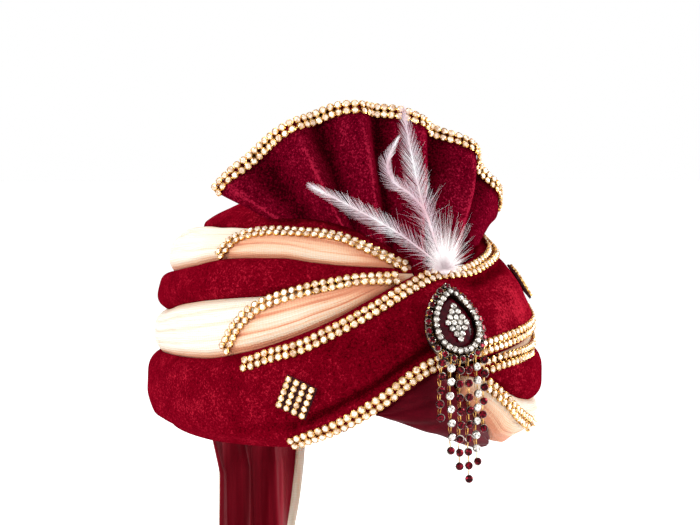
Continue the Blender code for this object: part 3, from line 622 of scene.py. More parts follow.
crown = shell("velvet_crown", crown_foot, crown_lift, 0.0085, 180, 40)
crown.data.materials.append(maroon_velvet)
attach(crown, "root")
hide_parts("crown_top")

RIM = (
    (-180, 0.0), (-27, 0.012), (-18, 0.0), (-4, 0.0), (5, 0.015), (19, 0.075), (29, 0.125), (34, 0.152),
    (38, 0.13), (46, 0.07), (51, 0.044), (58, 0.014), (77, 0.004), (90, 0.0), (180, 0.0),
)
CAP_GAP, CAP_WALL = 0.0001, 0.0021
SWEAT_SEAT, SWEAT_THICK = 0.0023, 0.0009
rim_line = follow(RIM)


def cap_lift(turn, rise, height):
    """The cap lies against the folds, with a narrow seam at every gore."""
    gore = groove((turn % 60 - 30), 2.0)
    return -FOLD_DEPTH - CAP_GAP - 0.0003 * gore * (rise > 0.05)


lining, tree, shader = new_material("lining_cloth", 0.85, specular_ior_level=0.1, sheen_weight=0.1)
where = object_place(tree)
weft, warp = (threads_along(tree, where, along, 300.0, 0.8) for along in ("Z", "X"))
weave = put(tree, "ShaderNodeMath", {0: weft, 1: warp}, operation="MULTIPLY").outputs[0]
colour_by(tree, shader, add_share(tree, weave, 0.12, mottle(tree, where, 40.0, 4.0)), (
    (0.35, (0.050, 0.003, 0.005)), (0.55, (0.085, 0.006, 0.009)), (0.8, (0.13, 0.012, 0.016)),
))
relief_by(tree, shader, weave, 0.2, 0.0002)

cap = shell("lining_cap", lambda turn: rim_line(turn) + 0.02, cap_lift, CAP_WALL, 144, 30)
cap.data.materials.append(lining)
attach(cap, "root")
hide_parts("crown_cap")

band_turn = np.linspace(-180, 180, 241)[:-1]
ribs = 0.00025 * np.sin(np.radians(band_turn * 60))
levels = np.linspace(0.025, 0.20, 9)
sweat_points, sweat_faces = [], []
for wall in (0, 1):
    for level in levels:
        lift = -FOLD_DEPTH - SWEAT_SEAT - SWEAT_THICK * wall + (ribs if wall else 0)
        sweat_points += list(place(band_turn, rim_line(band_turn) + level, lift))
ring, stack = len(band_turn), len(levels)
inside, top = stack * ring, (stack - 1) * ring
for step in range(ring):
    after = (step + 1) % ring
    for low in range(0, top, ring):
        high = low + ring
        sweat_faces.append((low + step, low + after, high + after, high + step))
        sweat_faces.append(tuple(inside + v for v in (low + after, low + step, high + step, high + after)))
    sweat_faces.append((after, step, inside + step, inside + after))
    sweat_faces.append((top + step, top + after, inside + top + after, inside + top + step))
sweatband = cloth_object("ribbed_sweatband", np.array(sweat_points), sweat_faces)
sweatband.data.materials.append(forehead_satin_shaded)
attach(sweatband, "root")

# The trims are two-row cup chain: round faceted stones in gold cups with four small claws,
# the cups linked by short gold bars. Each length is sewn down along the edge of a fold,
# over whatever cloth it crosses.
CHAIN_PITCH = 0.0041
ROW_GAP = 0.0039
STONE = 0.0037
CUP_SIZE = STONE * 1.06
LINK_SIZE = 0.0022
TRIM_SEAT, TRIM_REACH = 0.0002, 0.0036
LINE_STEPS = 240
folds_worn = (
    (BAND_START, BAND_END, band_foot, band_head, band_lift),
    (FOLD_START, LOWER_END, lower_foot, lower_head, lower_lift),
    (FOLD_START, LOWER_END, lower_head, middle_head, velvet_lift),
    (FOLD_START, UPPER_END, middle_head, upper_head, upper_lift),
)


def cloth_top(turn, height):
    """How far the outermost cloth stands off the skin at each place."""
    top = np.full(turn.shape, SATIN_LEVEL)
    for start, end, foot, head, lift in folds_worn:
        for lap in (0, 360):
            at = turn + lap
            low, high = foot(at), head(at)
            share = np.clip((height - low) / np.maximum(high - low, 1e-6), 0, 1)
            over = (at >= start) & (at <= end) & (height >= low) & (height <= high)
            top = np.where(over, np.maximum(top, lift(at, share, height)[0]), top)
    return top


def part_object(name, form):
    """A small made part, to be set many times, facing +Z with its seat at the origin."""
    mesh = bpy.data.meshes.new(name)
    form.to_mesh(mesh)
    form.free()
    made = bpy.data.objects.new(name, mesh)
    scene.collection.objects.link(made)
    return made


def join_rings(form, rings, closed=False):
    """Join rings of points: into a loop where that is closed, else with a cap at each end."""
    if not closed:
        form.faces.new(list(reversed(rings[0])))
        form.faces.new(rings[-1])
    for low, high in zip(rings, rings[1:] + rings[:1] if closed else rings[1:]):
        for step in range(len(low)):
            after = (step + 1) % len(low)
            form.faces.new((low[step], low[after], high[after], high[step]))


def lathe(form, rings, sides):
    """Rings of points at radii and heights, closed at both ends; a shift gives slanting facets."""
    loops = []
    for radius, high, shift in rings:
        turns = [2 * math.pi * (step + shift) / sides for step in range(sides)]
        loops.append([form.verts.new((radius * math.cos(a), radius * math.sin(a), high)) for a in turns])
    form.faces.new(list(reversed(loops[0])))
    form.faces.new(loops[-1])
    for low, high, (_, _, a), (_, _, b) in zip(loops, loops[1:], rings, rings[1:]):
        for step in range(sides):
            after = (step + 1) % sides
            if a == b:
                form.faces.new((low[step], low[after], high[after], high[step]))
            else:
                form.faces.new((low[step], low[after], high[step]))
                form.faces.new((low[after], high[after], high[step]))


def round_stone():
    """A round stone of unit width: a low belt, two rows of facets and a wide table."""
    form = bmesh.new()
    lathe(form, ((0.42, 0.20, 0), (0.45, 0.32, 0), (0.38, 0.44, 0.5), (0.25, 0.51, 1.0)), 9)
    return part_object("round_stone", form)


def claw_cup():
    """A gold cup of unit width with four claws that lean over the stone."""
    form = bmesh.new()
    lathe(form, ((0.36, 0.0, 0), (0.48, 0.12, 0), (0.49, 0.36, 0), (0.44, 0.38, 0), (0.42, 0.24, 0)), 10)
    for step in range(4):
        at = Matrix.Rotation(math.pi / 2 * (step + 0.5), 4, "Z") @ Matrix.Translation((0.435, 0, 0.38))
        lean = at @ Matrix.Rotation(-0.55, 4, "Y") @ Matrix.Diagonal((0.085, 0.13, 0.26, 1))
        bmesh.ops.create_cube(form, size=1.0, matrix=lean)
    return part_object("claw_cup", form)


def link_bar():
    """A short gold bar of unit length that joins two cups."""
    form = bmesh.new()
    at = Matrix.Translation((0, 0, 0.18)) @ Matrix.Diagonal((1.0, 0.32, 0.22, 1))
    bmesh.ops.create_cube(form, size=1.0, matrix=at)
    return part_object("link_bar", form)


def parts_tree():
    """Geometry Nodes that set one made part at each point of a layout, facing off it."""
    tree = bpy.data.node_groups.new("set_parts", "GeometryNodeTree")
    for title, kind in (
        ("Layout", "Geometry"), ("Part", "Object"), ("Finish", "Material"), ("Size", "Float"),
        ("Tilt", "Float"), ("Spin", "Float"), ("Seed", "Int"),
    ):
        tree.interface.new_socket(title, in_out="INPUT", socket_type="NodeSocket" + kind)
    tree.interface.new_socket("Parts", in_out="OUTPUT", socket_type="NodeSocketGeometry")
    given = put(tree, "NodeGroupInput").outputs
    read = {}
    for title in ("off", "across", "scale"):
        named = put(tree, "GeometryNodeInputNamedAttribute", {"Name": title}, data_type="FLOAT_VECTOR")
        read[title] = named.outputs["Attribute"]
    axes = put(tree, "FunctionNodeAxesToRotation", primary_axis="Z", secondary_axis="X")
    tree.links.new(read["off"], axes.inputs[0])
    tree.links.new(read["across"], axes.inputs[1])
    least = put(tree, "ShaderNodeCombineXYZ")
    most = put(tree, "ShaderNodeCombineXYZ")
    for key, corner in (("Tilt", "X"), ("Tilt", "Y"), ("Spin", "Z")):
        turned = put(tree, "ShaderNodeMath", {0: given[key], 1: -1.0}, operation="MULTIPLY")
        tree.links.new(turned.outputs[0], least.inputs[corner])
        tree.links.new(given[key], most.inputs[corner])
    chance = put(tree, "FunctionNodeRandomValue", {"Seed": given["Seed"]}, data_type="FLOAT_VECTOR")
    tree.links.new(least.outputs[0], chance.inputs[0])
    tree.links.new(most.outputs[0], chance.inputs[1])
    loose = put(tree, "FunctionNodeEulerToRotation", {"Euler": chance.outputs[0]})
    facing = put(
        tree, "FunctionNodeRotateRotation", {"Rotation": axes.outputs[0], "Rotate By": loose.outputs[0]},
        rotation_space="LOCAL",
    )
    sized = put(tree, "ShaderNodeVectorMath", operation="SCALE")
    tree.links.new(read["scale"], sized.inputs[0])
    tree.links.new(given["Size"], sized.inputs["Scale"])
    shape = put(tree, "GeometryNodeObjectInfo", {"Object": given["Part"]})
    spread = put(tree, "GeometryNodeInstanceOnPoints", {
        "Points": given["Layout"], "Instance": shape.outputs["Geometry"],
        "Rotation": facing.outputs[0], "Scale": sized.outputs[0],
    })
    real = put(tree, "GeometryNodeRealizeInstances", {"Geometry": spread.outputs[0]})
    painted = put(tree, "GeometryNodeSetMaterial", {"Geometry": real.outputs[0], "Material": given["Finish"]})
    put(tree, "NodeGroupOutput", {"Parts": painted.outputs[0]})
    return tree


set_parts_tree = parts_tree()


def set_parts(name, layout, part, finish, size, tilt, spin, seed):
    """A part set at every place of a layout of (point, off, across, scale), as one plain mesh."""
    mesh = bpy.data.meshes.new(name + "_layout")
    mesh.from_pydata([tuple(spot[0]) for spot in layout], [], [])
    for index, title in ((1, "off"), (2, "across"), (3, "scale")):
        values = []
        for spot in layout:
            value = spot[index] if index < len(spot) else (1.0, 1.0, 1.0)
            values += [float(v) for v in value]
        mesh.attributes.new(title, "FLOAT_VECTOR", "POINT").data.foreach_set("vector", values)
    holder = bpy.data.objects.new(name + "_layout", mesh)
    scene.collection.objects.link(holder)
    work = holder.modifiers.new("parts", "NODES")
    work.node_group = set_parts_tree
    given = {"Part": part, "Finish": finish, "Size": size, "Tilt": tilt, "Spin": spin, "Seed": seed}
    for item in set_parts_tree.interface.items_tree:
        if item.in_out == "INPUT" and item.name in given:
            work[item.identifier] = given[item.name]
    graph = bpy.context.evaluated_depsgraph_get()
    plain = bpy.data.meshes.new_from_object(holder.evaluated_get(graph))
    bpy.data.objects.remove(holder, do_unlink=True)
    made = bpy.data.objects.new(name, plain)
    plain.name = name
    plain.shade_flat()
    scene.collection.objects.link(made)
    return made


def metal(name, dark, body, bright, roughness):
    """Plated metal: darker in uneven patches of grime, with fine scratches."""
    material, tree, shader = new_material(name, roughness, metallic=1.0)
    where = object_place(tree)
    colour_by(tree, shader, mottle(tree, where, 190.0, 3.0), ((0.32, dark), (0.5, body), (0.7, bright)))
    relief_by(tree, shader, mottle(tree, where, 3000.0, 2.0), 0.12, 0.0001)
    return material


def jewel(name, dark, body, bright, glow, gloss, grain):
    """A cut glass stone on a foil back: each stone and facet takes its own depth of colour."""
    material, tree, shader = new_material(
        name, 0.08, specular_ior_level=gloss, coat_weight=0.5 * gloss, coat_roughness=0.03, metallic=glow,
    )
    fire = mottle(tree, object_place(tree), grain, 1.0)
    colour_by(tree, shader, fire, ((0.30, dark), (0.48, body), (0.66, bright)))
    return material


gold = metal("gold_plate", (0.36, 0.16, 0.035), (0.74, 0.42, 0.11), (0.96, 0.68, 0.28), 0.20)
clear_glass = jewel(
    "clear_stone", (0.46, 0.27, 0.16), (0.80, 0.60, 0.45), (0.95, 0.84, 0.72), 0.40, 0.6, 520.0,
)
stone_part, cup_part, bar_part = round_stone(), claw_cup(), link_bar()


def evenly(points, offs, pitch):
    """Places at an even pitch along a line, with the direction off it and the way it runs."""
    lengths = np.concatenate(([0], np.cumsum(np.linalg.norm(np.diff(points, axis=0), axis=1))))
    count = max(2, int(lengths[-1] / pitch))
    wanted = (lengths[-1] - (count - 1) * pitch) / 2 + np.arange(count) * pitch

    def read_at(lengths_wanted, values):
        """Values of the line at lengths along it."""
        return np.stack([np.interp(lengths_wanted, lengths, values[:, axis]) for axis in range(3)], -1)

    here, off = read_at(wanted, points), read_at(wanted, offs)
    run = read_at(wanted + pitch / 2, points) - read_at(wanted - pitch / 2, points)
    off = off / np.linalg.norm(off, axis=1, keepdims=True)
    run = run / np.linalg.norm(run, axis=1, keepdims=True)
    return here, off, run


SETTLE_FROM, SETTLE_REACH = 0.012, 0.02
SETTLE_DOWN, SETTLE_UP = 0.0024, 0.0016
graph = bpy.context.evaluated_depsgraph_get()
worn_cloths = [BVHTree.FromObject(cloth, graph) for cloth in (front_band, *folds, forehead, crown)]


def settle(spots, offs):
    """Spots let down, or raised, onto the cloth below them, as a supple chain lies."""
    moves = []
    for spot, off in zip(spots, offs):
        start, way = Vector(spot + SETTLE_FROM * off), Vector(-off)
        hits = [cloth.ray_cast(start, way, SETTLE_REACH)[3] for cloth in worn_cloths]
        found = min((far for far in hits if far is not None), default=SETTLE_REACH)
        moves.append(min(max(SETTLE_FROM - found, -SETTLE_DOWN), SETTLE_UP))
    moves = np.array(moves)
    even = np.convolve(np.pad(moves, 1, mode="edge"), np.ones(3) / 3, mode="valid")
    return spots + offs * np.maximum(moves, even)[:, None]


def two_row_chain(name, points, offs, node, seed, sewn=True):
    """A length of two-row cup chain whose middle line lies on the given points."""
    here, off, run = evenly(points, offs, CHAIN_PITCH)
    side = np.cross(off, run)
    side = side / np.linalg.norm(side, axis=1, keepdims=True)
    cups, bars = [], []
    rows = [here + side * ROW_GAP * row for row in (-0.5, 0.5)]
    if sewn:
        rows = [settle(spots, off) for spots in rows]
    for spots in rows:
        cups += list(zip(spots, off, run))
        bars += [(0.5 * (a + b), o, b - a, (0.6, 1, 1)) for a, b, o in zip(spots, spots[1:], off)]
    bars += [(0.5 * (a + b), o, b - a, (0.6, 1, 1)) for a, b, o in zip(*rows, off)]
    made = [
        set_parts(name + "_cups", cups, cup_part, gold, CUP_SIZE, 0.05, 0.3, seed),
        set_parts(name + "_stones", cups, stone_part, clear_glass, STONE, 0.09, 3.0, seed),
        set_parts(name + "_links", bars, bar_part, gold, LINK_SIZE, 0.0, 0.0, seed),
    ]
    for piece, slot in zip(made, ("gold_setting", "clear_stone", "gold_setting")):
        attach(piece, "root")
    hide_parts(node)
    return made


def line_on_cloth(path, seat):
    """A trim's middle line, laid over the cloth and bridging what it can't follow."""
    line = follow(path)
    turn = np.linspace(path[0][0], path[-1][0], LINE_STEPS)
    height = line(turn)
    reach = TRIM_REACH / BODY_HEIGHT
    tops = np.max([cloth_top(turn, height + reach * step) for step in (-1, -0.5, 0, 0.5, 1)], axis=0)
    padded = np.pad(tops, 12, mode="edge")
    wide = np.max([np.roll(padded, shift)[12:-12] for shift in range(-5, 6)], axis=0)
    kernel = np.ones(15) / 15
    lift = np.convolve(np.pad(wide, 7, mode="edge"), kernel, mode="valid") + seat
    return place(turn, height, lift), outward(turn, height)


for seed, (name, node, path) in enumerate((
    ("chain_band_upper", "trim_band_upper", (
        (-72, 0.812), (-50, 0.755), (-35, 0.718), (-22, 0.694), (-12, 0.674), (-4, 0.659), (9, 0.652),
        (20, 0.607), (34, 0.526), (46, 0.452), (54, 0.40), (63, 0.363), (71, 0.325),
    )),
    ("chain_band_lower", "trim_band_lower", (
        (-60, 0.50), (-45, 0.46), (-31, 0.437), (-19, 0.422), (-9, 0.407), (3, 0.386), (10, 0.371),
        (17, 0.348), (23, 0.311), (31, 0.23), (41, 0.141), (51, 0.08), (58, 0.05),
    )),
    ("chain_fold_lower", "trim_fold_lower", FOLD_LOWER_TRIM),
    ("chain_fold_upper", "trim_fold_upper", FOLD_UPPER_TRIM),
    ("chain_left_mid", "trim_left_mid", (
        (-58, 0.40), (-40, 0.37), (-29, 0.35), (-19, 0.345), (-8, 0.336), (2, 0.318),
    )),
    ("chain_left_low", "trim_left_low", (
        (-30, 0.05), (-21, 0.085), (-12, 0.135), (-7, 0.185), (-3, 0.225), (1, 0.255),
    )),
), start=1):
    points, offs = line_on_cloth(path, TRIM_SEAT)
    two_row_chain(name, points, offs, node, seed)

# Two square patches of stones sit on the band, one low at the right and one high at the
# left: four strings of five stones sewn to a small backing of doubled velvet.
CAD_GAP = 0.0004
PATCH_HALF, PATCH_ACROSS, PATCH_UP = 0.0084, 0.0043, 0.0034
PATCH_CUP, PATCH_STONE, PATCH_LINK = 0.0033, 0.0032, 0.0020


def frame_at(turn, height, lift, tilt=0.0):
    """A frame on the cloth: X across, Y up the skin and Z off it, turned by a tilt."""
    off = Vector(outward(np.array(float(turn)), np.array(float(height))))
    across = Vector((0, 0, 1)).cross(off).normalized()
    axes = Matrix((across, off.cross(across), off)).transposed().to_4x4()
    spot = Vector(place(np.array(float(turn)), np.array(float(height)), np.array(float(lift))))
    return Matrix.Translation(spot) @ axes @ Matrix.Rotation(tilt, 4, "Z")


def top_at(turn, height):
    """How far the outermost cloth stands off the skin at one place."""
    return float(cloth_top(np.array([float(turn)]), np.array([float(height)]))[0])


def set_on(where, spots):
    """A layout of places given in a frame, all facing off it."""
    turned = where.to_3x3()
    off, across = turned @ Vector((0, 0, 1)), turned @ Vector((1, 0, 0))
    return [(where @ Vector(spot), off, across) for spot in spots]


def flat_plate(name, where, outline, low, high, round_by, steps=2):
    """A flat plate of any outline between two heights, with a rounded rim."""
    form = bmesh.new()
    ring = [form.verts.new((x, y, low)) for x, y in outline]
    face = form.faces.new(ring)
    raised = bmesh.ops.extrude_face_region(form, geom=[face])["geom"]
    upper = [g for g in raised if isinstance(g, bmesh.types.BMVert)]
    bmesh.ops.translate(form, verts=upper, vec=(0, 0, high - low))
    turn_out(form)
    rim = [e for e in form.edges if all(abs(v.co.z - high) < 1e-7 for v in e.verts)]
    bmesh.ops.bevel(form, geom=rim, offset=round_by, segments=steps, affect="EDGES", profile=0.5)
    form.transform(where)
    return part_object(name, form)


patch_backing = velvet("patch_backing", (0.012, 0.003, 0.004), (0.034, 0.010, 0.013), (0.11, 0.045, 0.052))
for seed, (name, turn, height, tilt) in enumerate((
    ("patch_right", 54.0, 0.225, -0.38), ("patch_left", -48.0, 0.58, 0.30),
), start=31):
    where = frame_at(turn, height, top_at(turn, height) + CAD_GAP, tilt)
    square = [(PATCH_HALF * x, PATCH_HALF * y) for x, y in ((-1, -1), (1, -1), (1, 1), (-1, 1))]
    backing = flat_plate(name + "_backing", where, square, -0.0002, 0.0011, 0.0004)
    backing.data.materials.append(patch_backing)
    spots = [
        (PATCH_ACROSS * (column - 1.5), PATCH_UP * (row - 2), 0.0008)
        for column in range(4) for row in range(5)
    ]
    seats = set_on(where, spots)
    off, up = where.to_3x3() @ Vector((0, 0, 1)), where.to_3x3() @ Vector((0, 1, 0))
    bars = [
        (where @ Vector((x, y + PATCH_UP / 2, z)), off, up, (0.8, 1, 1))
        for x, y, z in spots if y < 1.5 * PATCH_UP
    ]
    cups = set_parts(name + "_cups", seats, cup_part, gold, PATCH_CUP, 0.05, 0.3, seed)
    stones = set_parts(name + "_stones", seats, stone_part, clear_glass, PATCH_STONE, 0.08, 3.0, seed)
    links = set_parts(name + "_links", bars, bar_part, gold, PATCH_LINK, 0.0, 0.0, seed)
    for piece, slot in (
        (backing, "maroon_velvet"), (cups, "gold_setting"), (stones, "clear_stone"), (links, "gold_setting"),
    ):
        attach(piece, "root")
    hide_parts(name)

# The brooch is a teardrop of dark plated metal, domed in steps: a ring of ruby stones in
# wire claws round the foot, a raised ring of clear stones, and a lozenge of clear stones on
# a glossy dark heart. It is pinned over the crossing of the trims.
BROOCH_AT = (11.5, 0.470)
BROOCH_WIDTH, BROOCH_HEIGHT = 0.0360, 0.0412
PLATE_THICK = 0.0016
WALL_OUTER, WALL_INNER, WALL_FOOT, WALL_TOP = (0.0285, 0.0332), (0.0228, 0.0272), 0.0014, 0.0048
HEART_SIZE = (0.0226, 0.0268)
DROP_BULGE = 0.525
RIM_POINTS = 72


def teardrop(width, height, count):
    """Points of a teardrop with its point up, evenly spread in angle."""
    points = []
    for step in range(count):
        angle = 2 * math.pi * step / count
        bulge = abs(math.sin(angle / 2)) ** 0.55
        points.append((DROP_BULGE * width * math.sin(angle) * bulge, 0.5 * height * math.cos(angle)))
    return points


def round_outline(points, count, level):
    """Even places round a closed outline, each with the way out of it."""
    loop = np.array(list(points) + [points[0]], float)
    lengths = np.concatenate(([0], np.cumsum(np.linalg.norm(np.diff(loop, axis=0), axis=1))))
    wanted = lengths[-1] * np.arange(count) / count
    x, y = np.interp(wanted, lengths, loop[:, 0]), np.interp(wanted, lengths, loop[:, 1])
    ahead = (wanted + 0.0004) % lengths[-1]
    dx, dy = np.interp(ahead, lengths, loop[:, 0]) - x, np.interp(ahead, lengths, loop[:, 1]) - y
    return [(Vector((a, b, level)), Vector((-q, p, 0)).normalized()) for a, b, p, q in zip(x, y, dx, dy)]


def ring_wall(name, where, outer, inner, low, high):
    """A raised ring between two outlines of equal counts, its top edges rounded."""
    form = bmesh.new()
    rows = []
    for outline, level, pull in (
        (inner, low, 1.0), (inner, high - 0.0003, 1.0), (inner, high, 1.0), (outer, high, 0.93),
        (outer, high - 0.0004, 1.0), (outer, low, 1.0),
    ):
        rows.append([form.verts.new((x * pull, y * pull, level)) for x, y in outline])
    join_rings(form, rows, closed=True)
    turn_out(form)
    form.transform(where)
    return part_object(name, form)


def wire_ring(name, steps, first, second, thick):
    """A closed ring of thin wire: an oval with the given half axes."""
    form = bmesh.new()
    through = first.cross(second).normalized()
    rows = []
    for step in range(steps):
        turn = 2 * math.pi * step / steps
        middle = math.cos(turn) * first + math.sin(turn) * second
        out = middle.normalized()
        corners = [math.cos(a) * out + math.sin(a) * through for a in (0, 1.57, 3.14, 4.71)]
        rows.append([form.verts.new(middle + thick * corner) for corner in corners])
    join_rings(form, rows, closed=True)
    turn_out(form)
    return part_object(name, form)


brooch = frame_at(*BROOCH_AT, top_at(*BROOCH_AT) + 0.0024)
dark_metal = metal("dark_plate", (0.020, 0.012, 0.011), (0.060, 0.036, 0.030), (0.16, 0.10, 0.07), 0.34)
ruby_glass = jewel(
    "ruby_stone", (0.007, 0.0, 0.0004), (0.034, 0.0002, 0.0020), (0.19, 0.002, 0.012), 0.5, 0.10, 800.0,
)
white_glass = jewel(
    "brooch_stone", (0.10, 0.085, 0.08), (0.60, 0.55, 0.50), (0.97, 0.95, 0.90), 0.5, 0.6, 900.0,
)
silver = metal("silvered_claws", (0.10, 0.085, 0.075), (0.34, 0.30, 0.26), (0.75, 0.70, 0.62), 0.25)
loop_part = wire_ring("wire_loop", 10, Vector((0, 0.5, 0)), Vector((0, 0, 0.5)), 0.13)
plate_outline = list(reversed(teardrop(BROOCH_WIDTH, BROOCH_HEIGHT, RIM_POINTS)))
plate = flat_plate("brooch_back", brooch, plate_outline, 0.0, PLATE_THICK, 0.0006, 3)
plate.data.materials.append(dark_metal)
wall_outer, wall_inner = teardrop(*WALL_OUTER, RIM_POINTS), teardrop(*WALL_INNER, RIM_POINTS)
wall = ring_wall("brooch_wall", brooch, wall_outer, wall_inner, WALL_FOOT, WALL_TOP)
wall.data.materials.append(dark_metal)

heart_outline = teardrop(*HEART_SIZE, RIM_POINTS)
form = bmesh.new()
rows = []
for share in (1.0, 0.97, 0.90, 0.78, 0.60, 0.38, 0.16):
    level = 0.0020 + 0.0020 * math.sqrt(max(0.0, 1 - share ** 2.4))
    rows.append([form.verts.new((x * share, y * share, level)) for x, y in heart_outline])
rows.insert(0, [form.verts.new((x, y, PLATE_THICK)) for x, y in heart_outline])
join_rings(form, rows)
turn_out(form)
form.transform(brooch)
heart = part_object("brooch_heart_dome", form)
heart.data.shade_smooth()
heart_gloss, tree, shader = new_material(
    "heart_enamel", 0.15, specular_ior_level=0.12, coat_weight=0.05, coat_roughness=0.05,
)
colour_by(tree, shader, mottle(tree, object_place(tree), 320.0, 3.0), (
    (0.3, (0.010, 0.0, 0.001)), (0.55, (0.045, 0.0, 0.004)), (0.8, (0.11, 0.001, 0.010)),
))
heart.data.materials.append(heart_gloss)

upright = brooch.to_3x3()


def ring_layout(width, height, count, level, tilt):
    """Places round a teardrop in the brooch, each leaning outward by a tilt."""
    found = []
    for spot, out in round_outline(teardrop(width, height, 96), count, level):
        lean = (upright @ (Vector((0, 0, 1)) + tilt * out)).normalized()
        found.append((brooch @ spot, lean, upright @ out))
    return found


ruby_spots = ring_layout(0.0325, 0.0370, 22, 0.0016, 0.35)
clear_spots = ring_layout(0.0258, 0.0306, 27, 0.0042, 0.16)
claw_spots = ring_layout(0.0292, 0.0338, 30, 0.0020, 0.9)
rim_loops = ring_layout(0.0356, 0.0404, 26, 0.0018, 0.0)
centre_spots = []
for row, count in enumerate((1, 2, 3, 4, 3, 2, 1)):
    across = [0.00168 * (2 * step + 1 - count) for step in range(count)]
    centre_spots += [(x, 0.00285 * (3 - row) - 0.001, 0.0040) for x in across]
centre_seats = set_on(brooch, centre_spots)
brooch_pieces = [
    (plate, "dark_metal", "brooch_plate"), (wall, "dark_metal", None),
    (heart, "heart_enamel", "brooch_heart"),
]
for seed, (name, seats, part, finish, size, tilt, spin, slot, node) in enumerate((
    ("brooch_ruby_cups", ruby_spots, cup_part, silver, 0.0037, 0.10, 0.3, "dark_metal", None),
    ("brooch_rubies", ruby_spots, stone_part, ruby_glass, 0.0038, 0.15, 3.0,
     "ruby_stone", "brooch_ruby_ring"),
    ("brooch_clear_cups", clear_spots, cup_part, silver, 0.0031, 0.18, 0.5, "dark_metal", None),
    ("brooch_clear_stones", clear_spots, stone_part, white_glass, 0.0029, 0.24, 3.0,
     "clear_stone", "brooch_clear_ring"),
    ("brooch_wire_loops", claw_spots, loop_part, gold, 0.0020, 0.15, 0.2, "gold_setting", None),
    ("brooch_rim_loops", rim_loops, loop_part, gold, 0.0016, 0.15, 0.2, "gold_setting", None),
    ("brooch_centre_cups", centre_seats, cup_part, silver, 0.0032, 0.10, 0.5, "dark_metal", None),
    ("brooch_centre_stones", centre_seats, stone_part, white_glass, 0.0031, 0.14, 3.0,
     "clear_stone", "brooch_centre"),
), start=41):
    brooch_pieces.append((set_parts(name, seats, part, finish, size, tilt, spin, seed), slot, node))
for piece, slot, node in brooch_pieces:
    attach(piece, "root")
    if node:
        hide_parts(node)

# The fringe hangs from the brooch's lower edge: six strings of stones in cups, two of them
# clear and four ruby, joined by links of gold wire and each ending in a ruby.
FRINGE = (  # across as a share of the brooch, stones, kind
    (-0.33, 5, "ruby"), (-0.20, 7, "clear"), (-0.065, 8, "ruby"), (0.07, 9, "ruby"),
    (0.20, 8, "clear"), (0.33, 6, "ruby"),
)
FRINGE_PITCH = 0.0067
FRINGE_CUP, FRINGE_STONE, FRINGE_LINK = 0.0042, 0.0043, 0.0044


def bead_cup():
    """A closed cup of unit width, round behind, that holds a stone in front."""
    form = bmesh.new()
    lathe(form, (
        (0.16, -0.16, 0), (0.40, -0.05, 0), (0.49, 0.14, 0), (0.49, 0.30, 0), (0.42, 0.30, 0),
        (0.42, 0.18, 0),
    ), 10)
    return part_object("bead_cup", form)


bead_part = bead_cup()
link_part = wire_ring("wire_link", 12, Vector((0.5, 0, 0)), Vector((0, 0.12, 0)), 0.036)
sway = random.Random(7)
for number, (share, count, kind) in enumerate(FRINGE, start=1):
    across = share * BROOCH_WIDTH
    fall = 0.5 * BROOCH_HEIGHT * math.sqrt(1 - (across / (DROP_BULGE * BROOCH_WIDTH)) ** 2)
    hook = brooch @ Vector((across, 0.0004 - fall, PLATE_THICK + 0.0007))
    cups, stones, links = [], {"ruby": [], "clear": []}, []
    for step in range(count):
        drift = 0.0005 * math.sin(1.3 * step + number)
        spot = hook + Vector((drift, -0.0009, -FRINGE_PITCH * (0.6 + step)))
        facing = Vector((sway.uniform(-0.55, 0.0), -1, sway.uniform(-0.12, 0.12))).normalized()
        across_way = Vector((0, 0, 1)).cross(facing).normalized()
        cups.append((spot, facing, across_way))
        stones[kind if step < count - 1 else "ruby"].append((spot + 0.0002 * facing, facing, across_way))
        for side in (-1, 1):
            middle = hook + Vector((drift + 0.0004 * side, -0.0006, -FRINGE_PITCH * (0.6 + step - 0.5)))
            lean = Vector((0.06 * side, 0, 1)).normalized()
            links.append((middle, Vector((side * 0.6, -1, 0)).normalized(), lean))
    node = f"strand_{number}"
    cups_made = set_parts(node + "_cups", cups, bead_part, silver, FRINGE_CUP, 0.1, 0.5, 50 + number)
    links_made = set_parts(node + "_links", links, link_part, gold, FRINGE_LINK, 0.1, 0.2, 60 + number)
    made = [(cups_made, "dark_metal", node), (links_made, "gold_setting", None)]
    for kind_now, finish in (("ruby", ruby_glass), ("clear", white_glass)):
        seats = stones[kind_now]
        if seats:
            title = f"{node}_{kind_now}_stones"
            piece = set_parts(title, seats, stone_part, finish, FRINGE_STONE, 0.15, 3.0, 70 + number)
            made.append((piece, kind_now + "_stone", None))
    for piece, slot, replaced in made:
        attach(piece, "root")
        if replaced:
            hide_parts(replaced)

# The fan stands up behind the band: stiffened velvet, doubled and pressed into seven deep
# pleats that open from a gathered foot. A two-row chain is sewn along the front of its edge.
CREST_HALF_WIDTH, CREST_SWEEP, CREST_TOP = 0.082, 0.062, 0.176
CREST_HALF_THICK = 0.0008
EDGE_STEPS, EDGE_RISE, EDGE_LIFT = 500, 0.957, 0.0012
FAN_ROWS = (  # share, turn of its foot, across, ahead, height
    (0.00, 72, -1.00, -0.05, 0.739), (0.12, 52, -0.87, 0.29, 0.867), (0.25, 36, -0.67, 0.55, 0.950),
    (0.38, 26, -0.42, 0.74, 0.994), (0.50, 19, -0.17, 0.86, 0.989), (0.62, 11, 0.10, 0.95, 0.944),
    (0.75, 1, 0.39, 1.00, 0.889), (0.88, -18, 0.69, 0.95, 0.772), (1.00, -46, 0.95, 0.48, 0.672),
)
fan_turn, fan_across, fan_ahead, fan_height = (follow(FAN_ROWS, column) for column in (1, 2, 3, 4))


